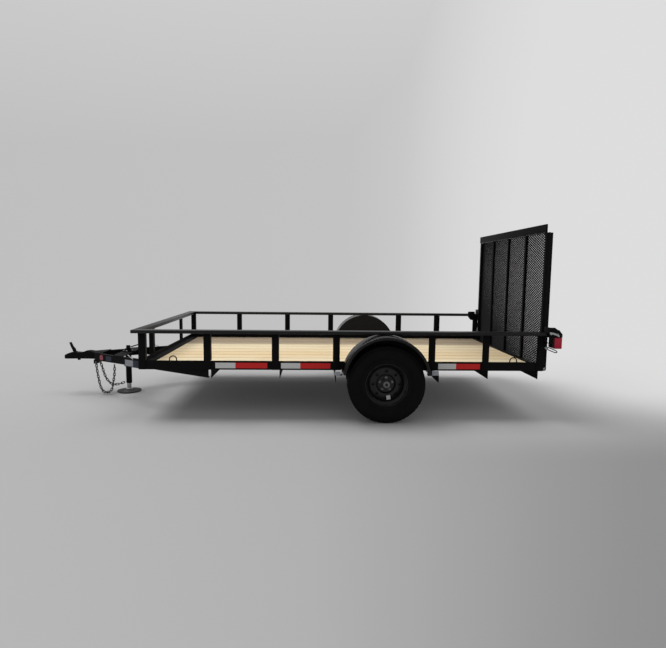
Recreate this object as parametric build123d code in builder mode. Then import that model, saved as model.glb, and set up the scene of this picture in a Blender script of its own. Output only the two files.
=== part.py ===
"""Single-axle utility trailer.

An angle-iron frame carries a plank deck inside posts and a flat top rail. An A-frame tongue ends in
a ball coupler and has safety chains and a screw jack. One leaf-sprung axle runs under round fenders.
A tall tailgate of expanded metal is hinged at the rear and folds down into a ramp.

Millimetres. +X points to the coupler, +Y to the left side, +Z up; the floor is Z = 0 and the
origin is the bottom centre of the whole trailer. Places along the trailer are written as
distances behind a datum line at the front of the deck, so what is ahead of it is negative.
"""

import os
from math import atan2, cos, sin

from build123d import *

os.makedirs("parts", exist_ok=True)

# ------------------------------------------------------------------ driving dimensions
# frame: angle rails on edge, their lower legs turned inwards under the boards
frame_front = -28            # front face of the front rail
frame_length = 3675         # rear ends of the side rails
sill_place = 3650           # rear face of the rear rail, between the side rails' ends
bed_width = 1956.4          # between the side rails' webs
steel = 4.8                 # wall of the rails, posts and cross-members
rail_height = 83
rail_leg = 50.8
rail_underside = 436        # above the floor
member_depth = 76.2         # tongue and cross-members hang this far under the rails
member_leg = 50.8

# deck
board_thickness = 38.1
board_count = 10
board_gap = 5
board_end_play = 1
front_cover = 85            # width of the strips over the boards' ends
rear_cover = 37

# cross-members: distance of the web behind the frame's front, and reach to each side
outrigger_reach = 1150      # the two beside the wheels run out to carry the fenders
plain, long = "plain", "long"
cross_member_table = (
    # place, kind
    (620, plain),
    (1241, plain),
    (1747, long),
    (2663, long),
    (3160, plain),
    (3627, plain),
)

# posts and top rail
post_width = 63.5
post_leg = 45
post_height = 337.2         # from the rails' underside to the top rail
side_post_places = (frame_front, 556, 1171, 1727, 2604, 3103, 3611.5)
front_post_offset = 530     # either side of the centreline
top_rail_width = 90
top_rail_height = 28.5
top_rail_inner = 970        # from the centreline to the side pieces
top_rail_front_edge = -67

block_thickness = 36
block_profile = (
    # behind, z
    (3541, 828),
    (3541, 768),
    (3575, 728),
    (3622, 720),
    (3622, 834),
    (3550, 834),
)

# tongue
tongue_apex = 952           # where the channels' outer faces would meet, ahead of the frame
tongue_start = 800          # front ends of the channels, ahead of the frame
tongue_end = 598            # rear ends, behind the frame's front
tongue_web = 5
tongue_flange = 36
tongue_flange_thickness = 6

# coupler
coupler_reach = 1159
coupler_rear = 720
coupler_bottom = 364
coupler_plate = 6
coupler_nose_radius = 38
coupler_neck_width = 62
coupler_neck_rear = 872
coupler_profile = (
    # behind, z: from the nose's lower edge round over the top
    (-1159, 364),
    (-1159, 392),
    (-1148, 404),
    (-1105, 424),
    (-1062, 438),
    (-1035, 438),
    (-1010, 432),
    (-958, 431),
    (-932, 446),
    (-894, 452),
    (-855, 447),
    (-825, 442),
    (-800, 442),
    (-800, 364),
)
ball_radius = 25.4
ball_clearance = 0.8
ball_ahead = 1119
socket_depth = 24

# jack
jack_ahead = 476
jack_tube_radius = 30.15
jack_wall = 3.2
jack_tube_bottom = 95
jack_tube_top = 470
jack_cap_height = 6
jack_leg_radius = 22
jack_leg_top = 385
jack_foot_radius = 125
jack_foot_height = 42
jack_plate_length = 120
jack_plate_thickness = 8
jack_flange_radius = 62
jack_fit = 0.25
crank_hub_radius = 21
crank_hub_height = 32
crank_arm = 150
crank_rise = 48
crank_rod = 6
crank_grip_radius = 12
crank_grip_length = 85

# axle, springs and wheels
axle_place = 2198
tyre_radius = 344.25
tyre_width = 203
wheel_track_half = 1113     # centre plane of each wheel
axle_tube_radius = 30
axle_tube_half = 1000
spindle_radius = 17.5
spindle_end = 1150
bearing_gap = 0.3
rim_flange_radius = 208
rim_seat_radius = 190
rim_well_radius = 166
rim_half_width = 72
rim_steel = 5
hub_bore_radius = 42
hub_pilot_radius = 41.7
hub_flange_radius = 74
hub_flange_thickness = 12
hub_barrel_radius = 34
drum_radius = 142
drum_depth = 60
drum_wall = 8
hub_cap_radius = 31
lug_circle_radius = 57.15
lug_count = 5
stud_radius = 6.5
lug_hole_radius = 7.5
nut_across = 21
nut_height = 16
vent_count = 8
vent_circle_radius = 118
vent_radius = 15

spring_centre_y = 958
spring_width = 40
spring_half_span = 330
spring_leaf = 7
spring_arch = 58
spring_pad = 6
spring_eye_radius = 15
spring_pin_radius = 8
spring_pin_half = 33        # half the pins' length
hanger_plate = 5
hanger_half = 26
shackle_rise = 40
leaf_table = (
    # half length of each leaf, from the top one down
    (330,),
    (250,),
    (170,),
    (95,),
)

# fenders
fender_radius = 390
fender_sheet = 3
fender_outer = 1225
fender_lip = 28
fender_end_height = 440
fender_top_gap = 1
fender_strap_width = 40

# tailgate
gate_front = 3664           # the gate's front face
gate_depth = 60
gate_steel = 3.2
gate_half_width = 945
gate_bottom = 437
gate_side_top = 1710
gate_top_bar_height = 75
gate_top_bar_front = 3657
gate_top_bar_depth = 14
gate_member_width = 38
gate_bar_width = 30
gate_bar_offsets = (-470, 0, 470)
gate_sheet = 3
mesh_pitch_y = 150
mesh_pitch_z = 75
mesh_strand = 16
hinge_place = 3697
hinge_height = 455
hinge_pin_radius = 8
hinge_clearance = 0.3
hinge_lug_gap = 8
hinge_lug_thickness = 10
hinge_lug_radius = 20

# tail lamps
rear_reach = 3798           # rearmost point: the lamps' lenses
lamp_depth = 81
lamp_bottom = 659
lamp_height = 103
lamp_inner = 975
lamp_width = 105
lamp_box_height = 91

# chains
chain_pitch = 32            # inside length of a link
chain_wire = 7
chain_link_width = 26
chain_slack = 2.5

chain_left_route = (
    # behind, y, z
    (-786, 100, 345),
    (-772, 105, 229),
    (-756, 110, 142),
    (-730, 125, 66),
    (-694, 140, 28),
    (-645, 158, 26),
    (-605, 174, 50),
    (-578, 186, 127),
    (-558, 200, 210),
    (-550, 208, 345),
)
chain_right_route = (
    (-762, 60, 345),
    (-720, 60, 213),
    (-682, 56, 130),
    (-639, 50, 92),
    (-576, 38, 88),
    (-520, 10, 106),
)

# gate latches
latch_place = 3688
latch_height = 655
latch_bolt_radius = 10
latch_bolt_inner = 952
latch_bolt_length = 70
latch_loop_length = 95
latch_loop_width = 24
latch_loop_drop = 18

# tie-down rings
ring_places = (271, 3410)
ring_y = 948
ring_radius = 32
ring_rod = 5
ring_leg = 44

# ------------------------------------------------------------------ worked out from them
front_x = (rear_reach - coupler_reach) / 2
half_bed = bed_width / 2
rail_outer = half_bed + steel       # 983
rail_top = rail_underside + rail_height
board_underside = rail_underside + steel
deck_top = board_underside + board_thickness
member_bottom = rail_underside - member_depth
leg_edge = rail_outer - rail_leg
post_outer = rail_outer + steel
top_rail_bottom = rail_underside + post_height
axle_height = tyre_radius
gate_rear = gate_front + gate_depth
tongue_slope = rail_outer / (tongue_apex + tongue_end)
tongue_angle = atan2(rail_outer, tongue_apex + tongue_end)

SIDES = (("left", 1), ("right", -1))
LOW = (Align.CENTER, Align.CENTER, Align.MIN)


def at(behind):
    """X of a place that is this far behind the frame's front face."""
    return front_x - behind


def box(x_range, y_range, z_range, mode=Mode.ADD):
    """Add a block to the open part from its limits along X, Y and Z."""
    lows = [min(pair) for pair in (x_range, y_range, z_range)]
    highs = [max(pair) for pair in (x_range, y_range, z_range)]
    centre = [(low + high) / 2 for low, high in zip(lows, highs)]
    with Locations(tuple(centre)):
        Box(*[high - low for low, high in zip(lows, highs)], mode=mode)


def tongue_y(behind, inwards=0):
    """Distance from the centreline to the tongue's outer face, less a thickness inwards."""
    return (behind + tongue_apex) * tongue_slope - inwards / cos(tongue_angle)


def keep(builder, node):
    """Label a finished piece and write it."""
    builder.part.label = node
    export_step(builder.part, f"parts/{node}.step")


# ------------------------------------------------------------------ frame
for name, side in SIDES:
    with BuildPart() as side_rail:
        span = (at(frame_front), at(frame_length))
        box(span, (side * half_bed, side * rail_outer), (rail_underside, rail_top))
    keep(side_rail, f"side_rail_{name}")

with BuildPart() as rail_legs:
    # the side rails' lower legs, which carry the boards
    for side in (1, -1):
        box(
            (at(frame_front + steel), at(sill_place - steel)),
            (side * leg_edge, side * half_bed),
            (rail_underside, board_underside),
        )
keep(rail_legs, "rail_legs")

with BuildPart() as front_rail:
    front_inner = frame_front + steel
    box((at(frame_front), at(front_inner)), (-half_bed, half_bed), (rail_underside, rail_top))
    leg_inner = frame_front + rail_leg
    box((at(front_inner), at(leg_inner)), (-leg_edge, leg_edge), (rail_underside, board_underside))
    box((at(front_inner), at(front_inner + front_cover)), (-half_bed, half_bed), (deck_top, deck_top + steel))
keep(front_rail, "front_rail")

with BuildPart() as rear_rail:
    rear_inner = sill_place - steel
    box((at(rear_inner), at(sill_place)), (-half_bed, half_bed), (rail_underside, deck_top + steel))
    box(
        (at(rear_inner), at(rear_inner - rear_cover)),
        (-half_bed, half_bed),
        (deck_top, deck_top + steel),
    )
keep(rear_rail, "rear_rail")

with BuildPart() as cross_members:
    for place, kind in cross_member_table:
        reach = outrigger_reach if kind == long else rail_outer
        web = (at(place), at(place + steel))
        box(web, (-reach, reach), (member_bottom, rail_underside))
        box(web, (-leg_edge, leg_edge), (rail_underside, board_underside))
        box(
            (at(place), at(place + steel - member_leg)),
            (-leg_edge, leg_edge),
            (rail_underside, board_underside),
        )
keep(cross_members, "cross_members")

# ------------------------------------------------------------------ deck
board_field = bed_width - 2 * board_end_play
board_width = (board_field - (board_count - 1) * board_gap) / board_count
with BuildPart() as deck_boards:
    for index in range(board_count):
        board_low = -board_field / 2 + index * (board_width + board_gap)
        box(
            (at(front_inner + board_end_play), at(sill_place - steel - board_end_play)),
            (board_low, board_low + board_width),
            (board_underside, deck_top),
        )
keep(deck_boards, "deck_boards")

# ------------------------------------------------------------------ posts and top rail
for name, side in SIDES:
    with BuildPart() as posts:
        for place in side_post_places:
            edge = place + post_width
            box(
                (at(place), at(edge)),
                (side * rail_outer, side * post_outer),
                (rail_underside, top_rail_bottom),
            )
            if edge < frame_length:
                box(
                    (at(edge - steel), at(edge)),
                    (side * rail_outer, side * (rail_outer - post_leg)),
                    (rail_top, top_rail_bottom),
                )
    keep(posts, f"posts_{name}")

with BuildPart() as posts_front:
    for side in (1, -1):
        inner = side * (front_post_offset - post_width / 2)
        outer = side * (front_post_offset + post_width / 2)
        rise = (rail_underside, top_rail_bottom)
        front_face = frame_front - steel
        box((at(front_face), at(frame_front)), (inner, outer), rise)
        box((at(front_face), at(top_rail_front_edge)), (outer, outer - side * steel), rise)
keep(posts_front, "posts_front")

top_rail_outer = top_rail_inner + top_rail_width
top_rail_rise = (top_rail_bottom, top_rail_bottom + top_rail_height)
for name, side in SIDES:
    with BuildPart() as top_rail:
        box(
            (at(top_rail_front_edge), at(frame_length)),
            (side * top_rail_inner, side * top_rail_outer),
            top_rail_rise,
        )
    keep(top_rail, f"top_rail_{name}")

with BuildPart() as top_rail_front:
    box(
        (at(top_rail_front_edge), at(top_rail_front_edge + top_rail_width)),
        (-top_rail_inner, top_rail_inner),
        top_rail_rise,
    )
keep(top_rail_front, "top_rail_front")

with BuildPart() as rear_block:
    # against the inner face of the right top rail, ahead of the last post
    with BuildSketch(Plane.XZ.offset(top_rail_inner - block_thickness)):
        with BuildLine():
            Polyline(*[(at(behind), z) for behind, z in block_profile], close=True)
        make_face()
    extrude(amount=block_thickness)
keep(rear_block, "rear_block")

# ------------------------------------------------------------------ tongue


def tongue_strip(side, width):
    """Plan corners of a strip along the tongue's outer face."""
    corners = (
        (-tongue_start, tongue_y(-tongue_start)),
        (tongue_end, tongue_y(tongue_end)),
        (tongue_end, tongue_y(tongue_end, width)),
        (-tongue_start, tongue_y(-tongue_start, width)),
    )
    return [(at(behind), side * y) for behind, y in corners]


for name, side in SIDES:
    with BuildPart() as tongue:
        with BuildSketch(Plane.XY.offset(member_bottom)):
            with BuildLine():
                Polyline(*tongue_strip(side, tongue_web), close=True)
            make_face()
        extrude(amount=member_depth)
        for level in (member_bottom, rail_underside - tongue_flange_thickness):
            with BuildSketch(Plane.XY.offset(level)):
                with BuildLine():
                    Polyline(*tongue_strip(side, tongue_flange), close=True)
                make_face()
            extrude(amount=tongue_flange_thickness)
    keep(tongue, f"tongue_{name}")

# ------------------------------------------------------------------ coupler
with BuildPart() as coupler:
    # neck and ball housing: the plan shape cut to the side profile
    with BuildSketch(Plane.XY.offset(coupler_bottom)):
        with Locations((at(coupler_nose_radius - coupler_reach), 0)):
            Circle(coupler_nose_radius)
        with BuildLine():
            Polyline(
                (at(coupler_nose_radius - coupler_reach), coupler_nose_radius),
                (at(-coupler_neck_rear - 120), coupler_neck_width / 2),
                (at(-tongue_start), coupler_neck_width / 2 + 8),
                (at(-tongue_start), -coupler_neck_width / 2 - 8),
                (at(-coupler_neck_rear - 120), -coupler_neck_width / 2),
                (at(coupler_nose_radius - coupler_reach), -coupler_nose_radius),
                close=True,
            )
        make_face()
    extrude(amount=120)
    with BuildSketch(Plane.XZ):
        with BuildLine():
            Polyline(*[(at(behind), z) for behind, z in coupler_profile], close=True)
        make_face()
    extrude(amount=100, both=True, mode=Mode.INTERSECT)
    # clamp nut and the chains' bracket underneath
    with Locations((at(-1008), 0, coupler_bottom - 18)):
        Cylinder(15, 20, align=LOW)
    box((at(-822), at(-784)), (-75, 75), (member_bottom - 42, member_bottom))
    # top plate over the channels' front ends, with a skirt down each outer face
    plate_half = tongue_y(-coupler_rear) + coupler_plate
    with BuildSketch(Plane.XY.offset(rail_underside)):
        with BuildLine():
            Polyline(
                (at(-coupler_neck_rear), coupler_neck_width / 2),
                (at(-coupler_rear), plate_half),
                (at(-coupler_rear), -plate_half),
                (at(-coupler_neck_rear), -coupler_neck_width / 2),
                close=True,
            )
        make_face()
    extrude(amount=coupler_plate)
    for side in (1, -1):
        skirt_front = -tongue_start
        with BuildSketch(Plane.XY.offset(coupler_bottom)):
            with BuildLine():
                Polyline(
                    (at(skirt_front), side * tongue_y(skirt_front)),
                    (at(-coupler_rear), side * tongue_y(-coupler_rear)),
                    (at(-coupler_rear), side * (tongue_y(-coupler_rear) + coupler_plate)),
                    (at(skirt_front), side * (tongue_y(skirt_front) + coupler_plate)),
                    close=True,
                )
            make_face()
        extrude(amount=rail_underside - coupler_bottom)
    # socket for the ball, open downwards
    socket_radius = ball_radius + ball_clearance
    with Locations((at(-ball_ahead), 0, coupler_bottom)):
        Cylinder(socket_radius, socket_depth, align=LOW, mode=Mode.SUBTRACT)
    with Locations((at(-ball_ahead), 0, coupler_bottom + socket_depth)):
        Sphere(socket_radius, mode=Mode.SUBTRACT)
keep(coupler, "coupler")

with BuildPart() as coupler_latch:
    # lever, raised over the neck
    with BuildSketch(Plane.XZ):
        with BuildLine():
            Polyline(
                (at(-1036), 438),
                (at(-1062), 438),
                (at(-1082), 482),
                (at(-1102), 536),
                (at(-1088), 541),
                (at(-1066), 492),
                (at(-1046), 470),
                close=True,
            )
        make_face()
    extrude(amount=14, both=True)
keep(coupler_latch, "coupler_latch")

# ------------------------------------------------------------------ jack
jack_x = at(-jack_ahead)
jack_plate_top = rail_underside + jack_plate_thickness
with BuildPart() as jack_bracket:
    with BuildSketch(Plane.XY.offset(rail_underside)):
        near_end = -jack_ahead - jack_plate_length / 2
        far_end = -jack_ahead + jack_plate_length / 2
        with BuildLine():
            Polyline(
                (at(near_end), tongue_y(near_end)),
                (at(far_end), tongue_y(far_end)),
                (at(far_end), -tongue_y(far_end)),
                (at(near_end), -tongue_y(near_end)),
                close=True,
            )
        make_face()
        with Locations((jack_x, 0)):
            Circle(jack_tube_radius + jack_fit, mode=Mode.SUBTRACT)
    extrude(amount=jack_plate_thickness)
keep(jack_bracket, "jack_bracket")

with BuildPart() as jack_tube:
    with BuildSketch(Plane.XY.offset(jack_tube_bottom)):
        with Locations((jack_x, 0)):
            Circle(jack_tube_radius)
            Circle(jack_tube_radius - jack_wall, mode=Mode.SUBTRACT)
    extrude(amount=jack_tube_top - jack_tube_bottom)
    with BuildSketch(Plane.XY.offset(jack_plate_top)):
        with Locations((jack_x, 0)):
            Circle(jack_flange_radius)
            Circle(jack_tube_radius - jack_wall, mode=Mode.SUBTRACT)
    extrude(amount=jack_plate_thickness)
    with Locations((jack_x, 0, jack_tube_top)):
        Cylinder(jack_tube_radius + 2, jack_cap_height, align=LOW)
keep(jack_tube, "jack_tube")

crank_base = jack_tube_top + jack_cap_height
with BuildPart() as jack_crank:
    with Locations((jack_x, 0, crank_base)):
        Cylinder(crank_hub_radius, crank_hub_height, align=LOW)
    with BuildLine() as crank_line:
        Polyline(
            (jack_x, 0, crank_base + 7),
            (jack_x - crank_arm, 0, crank_base + 7 + crank_rise),
            (jack_x - crank_arm, 0, crank_base + 7 + crank_rise + crank_grip_length + 15),
        )
    with BuildSketch(Plane(crank_line.line @ 0, z_dir=crank_line.line % 0)):
        Circle(crank_rod)
    sweep(path=crank_line.line, transition=Transition.ROUND)
    with Locations((jack_x - crank_arm, 0, crank_base + 7 + crank_rise + 15)):
        Cylinder(crank_grip_radius, crank_grip_length, align=LOW)
keep(jack_crank, "jack_crank")

with BuildPart() as jack_leg:
    with BuildSketch(Plane.XZ):
        with BuildLine():
            Polyline(
                (0, 0),
                (jack_foot_radius - 8, 0),
                (jack_foot_radius, 8),
                (jack_foot_radius, 14),
                (jack_foot_radius - 10, 14),
                (jack_leg_radius + 22, jack_foot_height - 8),
                (jack_leg_radius + 4, jack_foot_height),
                (jack_leg_radius, jack_foot_height),
                (jack_leg_radius, jack_leg_top),
                (0, jack_leg_top),
                close=True,
            )
        make_face()
    revolve(axis=Axis.Z)
jack_leg.part = jack_leg.part.moved(Location((jack_x, 0, 0)))
keep(jack_leg, "jack_leg")

# ------------------------------------------------------------------ wheels and axle
# rim section: radius and distance outwards from the wheel's centre plane
rim_section = (
    (rim_flange_radius, -rim_half_width),
    (rim_seat_radius + 3, -rim_half_width + 2),
    (rim_seat_radius, -rim_half_width + 8),
    (rim_seat_radius, -42),
    (rim_well_radius, -28),
    (rim_well_radius, 12),
    (rim_seat_radius, 34),
    (rim_seat_radius, rim_half_width - 8),
    (rim_seat_radius + 3, rim_half_width - 2),
    (rim_flange_radius, rim_half_width),
)
disc_section = (
    (hub_bore_radius, rim_steel / 2),
    (76, rim_steel / 2),
    (92, 17),
    (112, 21),
    (142, 12),
    (rim_well_radius - rim_steel / 2, 2),
)
# tyre section: the outer half, from the bead to the middle of the tread
bead_radius = rim_seat_radius + rim_steel / 2
tyre_half = tyre_width / 2
tyre_outline = (
    (bead_radius, 44),
    (bead_radius, rim_half_width - 12),
    (rim_flange_radius + 2, rim_half_width - 7),
    (rim_flange_radius + 3, rim_half_width + 5),
    (rim_flange_radius + 20, rim_half_width + 18),
    (270, tyre_half),
    (305, tyre_half - 4),
    (328, tyre_half - 14),
    (338, tyre_half - 26),
    (tyre_radius, 40),
)


def section_points(table, side):
    return [(radius, side * outwards) for radius, outwards in table]


wheel_axis = Axis((0, 0, 0), (0, 1, 0))
for name, side in SIDES:
    wheel_place = Location((at(axle_place), side * wheel_track_half, axle_height))

    with BuildPart() as tyre:
        with BuildSketch():
            with BuildLine():
                crown = [(radius, outwards) for radius, outwards in tyre_outline]
                Polyline(*crown, *[(radius, -outwards) for radius, outwards in reversed(crown)], close=True)
            make_face()
        revolve(axis=wheel_axis)
    tyre.part = tyre.part.moved(wheel_place)
    keep(tyre, f"tyre_{name}")

    with BuildPart() as rim:
        with BuildSketch():
            with BuildLine():
                Polyline(*section_points(rim_section, side))
            trace(line_width=rim_steel)
            with BuildLine():
                Polyline(*section_points(disc_section, side))
            trace(line_width=rim_steel)
        revolve(axis=wheel_axis)
        with BuildSketch(Plane.XZ.offset(100)):
            with PolarLocations(vent_circle_radius, vent_count):
                Circle(vent_radius)
            with PolarLocations(lug_circle_radius, lug_count, start_angle=90):
                Circle(lug_hole_radius)
        extrude(amount=-200, mode=Mode.SUBTRACT)
    rim.part = rim.part.moved(wheel_place)
    keep(rim, f"rim_{name}")

    with BuildPart() as hub:
        bore = spindle_radius + bearing_gap
        hub_inner = -84
        drum_set_back = hub_flange_thickness / 2
        bore_end = spindle_end - wheel_track_half + 4
        hub_section = (
            (bore, hub_inner),
            (hub_barrel_radius, hub_inner),
            (hub_barrel_radius, -hub_flange_thickness),
            (drum_radius - drum_wall, -hub_flange_thickness),
            (drum_radius - drum_wall, -drum_depth - drum_set_back),
            (drum_radius, -drum_depth - drum_set_back),
            (drum_radius, -drum_set_back),
            (hub_flange_radius, -drum_set_back),
            (hub_flange_radius, 0),
            (hub_pilot_radius, 0),
            (hub_pilot_radius, 22),
            (hub_cap_radius, 26),
            (hub_cap_radius - 2, 58),
            (hub_cap_radius - 12, 66),
            (0, 66),
            (0, bore_end),
            (bore, bore_end),
        )
        with BuildSketch():
            with BuildLine():
                Polyline(*section_points(hub_section, side), close=True)
            make_face()
        revolve(axis=wheel_axis)
        with BuildSketch(Plane.XZ):
            with PolarLocations(lug_circle_radius, lug_count, start_angle=90):
                Circle(stud_radius)
        extrude(amount=-side * (rim_steel + nut_height + 4))
        with BuildSketch(Plane.XZ.offset(-side * rim_steel)):
            with PolarLocations(lug_circle_radius, lug_count, start_angle=90):
                RegularPolygon(nut_across / 2, 6, major_radius=False)
        extrude(amount=-side * nut_height)
    hub.part = hub.part.moved(wheel_place)
    keep(hub, f"hub_{name}")

spring_top = axle_height - axle_tube_radius - spring_pad
# circle along the main leaf's top face
arch_radius = (spring_half_span**2 + spring_arch**2) / (2 * spring_arch)
arch_centre = spring_top + arch_radius
eye_angle = spring_half_span / arch_radius
eye_reach = (arch_radius + spring_leaf - spring_eye_radius) * sin(eye_angle)
eye_height = arch_centre - (arch_radius + spring_leaf - spring_eye_radius) * cos(eye_angle)
with BuildPart() as axle:
    with Locations(Location((at(axle_place), 0, axle_height), (90, 0, 0))):
        Cylinder(axle_tube_radius, 2 * axle_tube_half)
        Cylinder(spindle_radius, 2 * spindle_end)
    # pads shaped to the springs' curve
    for side in (1, -1):
        with BuildSketch(Plane.XZ.offset(-side * (spring_centre_y - spring_width / 2))):
            with Locations((at(axle_place), spring_top + 15)):
                Rectangle(60, 40)
            with Locations((at(axle_place), arch_centre)):
                Circle(arch_radius, mode=Mode.INTERSECT)
        extrude(amount=-side * spring_width)
keep(axle, "axle")

# ------------------------------------------------------------------ springs
with BuildPart() as leaf_springs:
    for side in (1, -1):
        with BuildSketch(Plane.XZ.offset(-side * spring_centre_y)):
            for index, (half_length,) in enumerate(leaf_table):
                half_angle = half_length / arch_radius
                with BuildLine():
                    corners = []
                    for face in (index, index + 1):
                        radius = arch_radius + face * spring_leaf
                        run = radius * sin(half_angle)
                        level = arch_centre - radius * cos(half_angle)
                        ends = ((at(axle_place) - run, level), (at(axle_place) + run, level))
                        ThreePointArc(ends[0], (at(axle_place), arch_centre - radius), ends[1])
                        corners.append(ends)
                    Line(corners[0][0], corners[1][0])
                    Line(corners[0][1], corners[1][1])
                make_face()
            with Locations(*[(at(axle_place) + end * eye_reach, eye_height) for end in (1, -1)]):
                Circle(spring_eye_radius)
                Circle(spring_pin_radius, mode=Mode.SUBTRACT)
        extrude(amount=spring_width / 2, both=True)
keep(leaf_springs, "leaf_springs")

spring_inner = spring_centre_y - spring_width / 2
spring_outer = spring_centre_y + spring_width / 2
front_eye = at(axle_place) + eye_reach
rear_eye = at(axle_place) - eye_reach
shackle_top = eye_height + shackle_rise
side_plates = ((spring_inner - hanger_plate, spring_inner), (spring_outer, spring_outer + hanger_plate))
with BuildPart() as spring_hangers:
    for side in (1, -1):
        # two plates at the front, a block between the shackles at the rear
        for inner, outer in side_plates:
            box(
                (front_eye - hanger_half, front_eye + hanger_half),
                (side * inner, side * outer),
                (eye_height - 20, rail_underside),
            )
        box(
            (rear_eye - 16, rear_eye + 16),
            (side * spring_inner, side * spring_outer),
            (shackle_top - 15, rail_underside),
        )
    for eye in ((front_eye, 0, eye_height), (rear_eye, 0, shackle_top)):
        with Locations(Location(eye, (90, 0, 0))):
            Cylinder(spring_pin_radius, 2 * half_bed + 40, mode=Mode.SUBTRACT)
keep(spring_hangers, "spring_hangers")

with BuildPart() as spring_shackles:
    for side in (1, -1):
        for inner, outer in side_plates:
            with BuildSketch(Plane.XZ.offset(-side * inner)):
                with Locations((rear_eye, (eye_height + shackle_top) / 2)):
                    SlotCenterToCenter(shackle_rise, 26, rotation=90)
                with Locations((rear_eye, eye_height), (rear_eye, shackle_top)):
                    Circle(spring_pin_radius, mode=Mode.SUBTRACT)
            extrude(amount=-side * hanger_plate)
keep(spring_shackles, "spring_shackles")

with BuildPart() as spring_pins:
    for side in (1, -1):
        pin_places = ((front_eye, eye_height), (rear_eye, eye_height), (rear_eye, shackle_top))
        for x, z in pin_places:
            with Locations(Location((x, side * spring_centre_y, z), (90, 0, 0))):
                Cylinder(spring_pin_radius, 2 * spring_pin_half)
            for end in (1, -1):
                head = spring_centre_y + end * (spring_width / 2 + hanger_plate + 2.5)
                with Locations(Location((x, side * head, z), (90, 0, 0))):
                    Cylinder(11, 5)
keep(spring_pins, "spring_pins")

with BuildPart() as spring_clamps:
    stack = len(leaf_table) * spring_leaf
    plate_top = spring_top - stack
    for side in (1, -1):
        with BuildSketch(Plane.XZ.offset(-side * (spring_centre_y - 42))):
            with Locations((at(axle_place), plate_top - 4)):
                Rectangle(104, 12)
            with Locations((at(axle_place), arch_centre)):
                Circle(arch_radius + stack, mode=Mode.SUBTRACT)
        extrude(amount=-side * 84)
        for offset in (-27, 27):
            y = side * spring_centre_y + offset
            rod = 5
            bend = axle_tube_radius + rod
            with BuildLine() as u_line:
                Line((at(axle_place) - bend, y, plate_top - 22), (at(axle_place) - bend, y, axle_height))
                ThreePointArc(
                    (at(axle_place) - bend, y, axle_height),
                    (at(axle_place), y, axle_height + bend),
                    (at(axle_place) + bend, y, axle_height),
                )
                Line((at(axle_place) + bend, y, axle_height), (at(axle_place) + bend, y, plate_top - 22))
            with BuildSketch(Plane(u_line.line @ 0, z_dir=u_line.line % 0)):
                Circle(rod)
            sweep(path=u_line.line)
keep(spring_clamps, "spring_clamps")

# ------------------------------------------------------------------ fenders
centre_z = top_rail_bottom - fender_top_gap - fender_radius
fender_reach = (fender_radius**2 - (fender_end_height - centre_z) ** 2) ** 0.5
for name, side in SIDES:
    with BuildPart() as fender:
        with BuildSketch(Plane.XZ.offset(-side * rail_outer)):
            with Locations((at(axle_place), centre_z)):
                Circle(fender_radius)
                Circle(fender_radius - fender_sheet, mode=Mode.SUBTRACT)
        extrude(amount=-side * (fender_outer - rail_outer))
        # backing plate against the side rail
        with BuildSketch(Plane.XZ.offset(-side * rail_outer)):
            with Locations((at(axle_place), centre_z)):
                Circle(fender_radius)
        extrude(amount=-side * fender_sheet)
        # turned-in outer lip
        with BuildSketch(Plane.XZ.offset(-side * (fender_outer - fender_sheet))):
            with Locations((at(axle_place), centre_z)):
                Circle(fender_radius)
                Circle(fender_radius - fender_lip, mode=Mode.SUBTRACT)
        extrude(amount=-side * fender_sheet)
        box(
            (at(axle_place) - 500, at(axle_place) + 500),
            (side * (rail_outer - 10), side * (fender_outer + 10)),
            (centre_z - 500, fender_end_height),
            mode=Mode.SUBTRACT,
        )
    keep(fender, f"fender_{name}")

with BuildPart() as fender_brackets:
    # from each outrigger to the end of the fender beside it
    for side in (1, -1):
        strap = (side * (rail_outer + 60), side * (rail_outer + 60 + fender_strap_width))
        for web_face, end in ((at(cross_member_table[2][0] + steel), 1), (at(cross_member_table[3][0]), -1)):
            fender_x = at(axle_place) + end * (fender_reach + 1)
            box((web_face, fender_x), strap, (rail_underside - 30, rail_underside - 24))
            box((fender_x, fender_x + end * 5), strap, (rail_underside - 30, fender_end_height + 24))
keep(fender_brackets, "fender_brackets")

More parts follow.
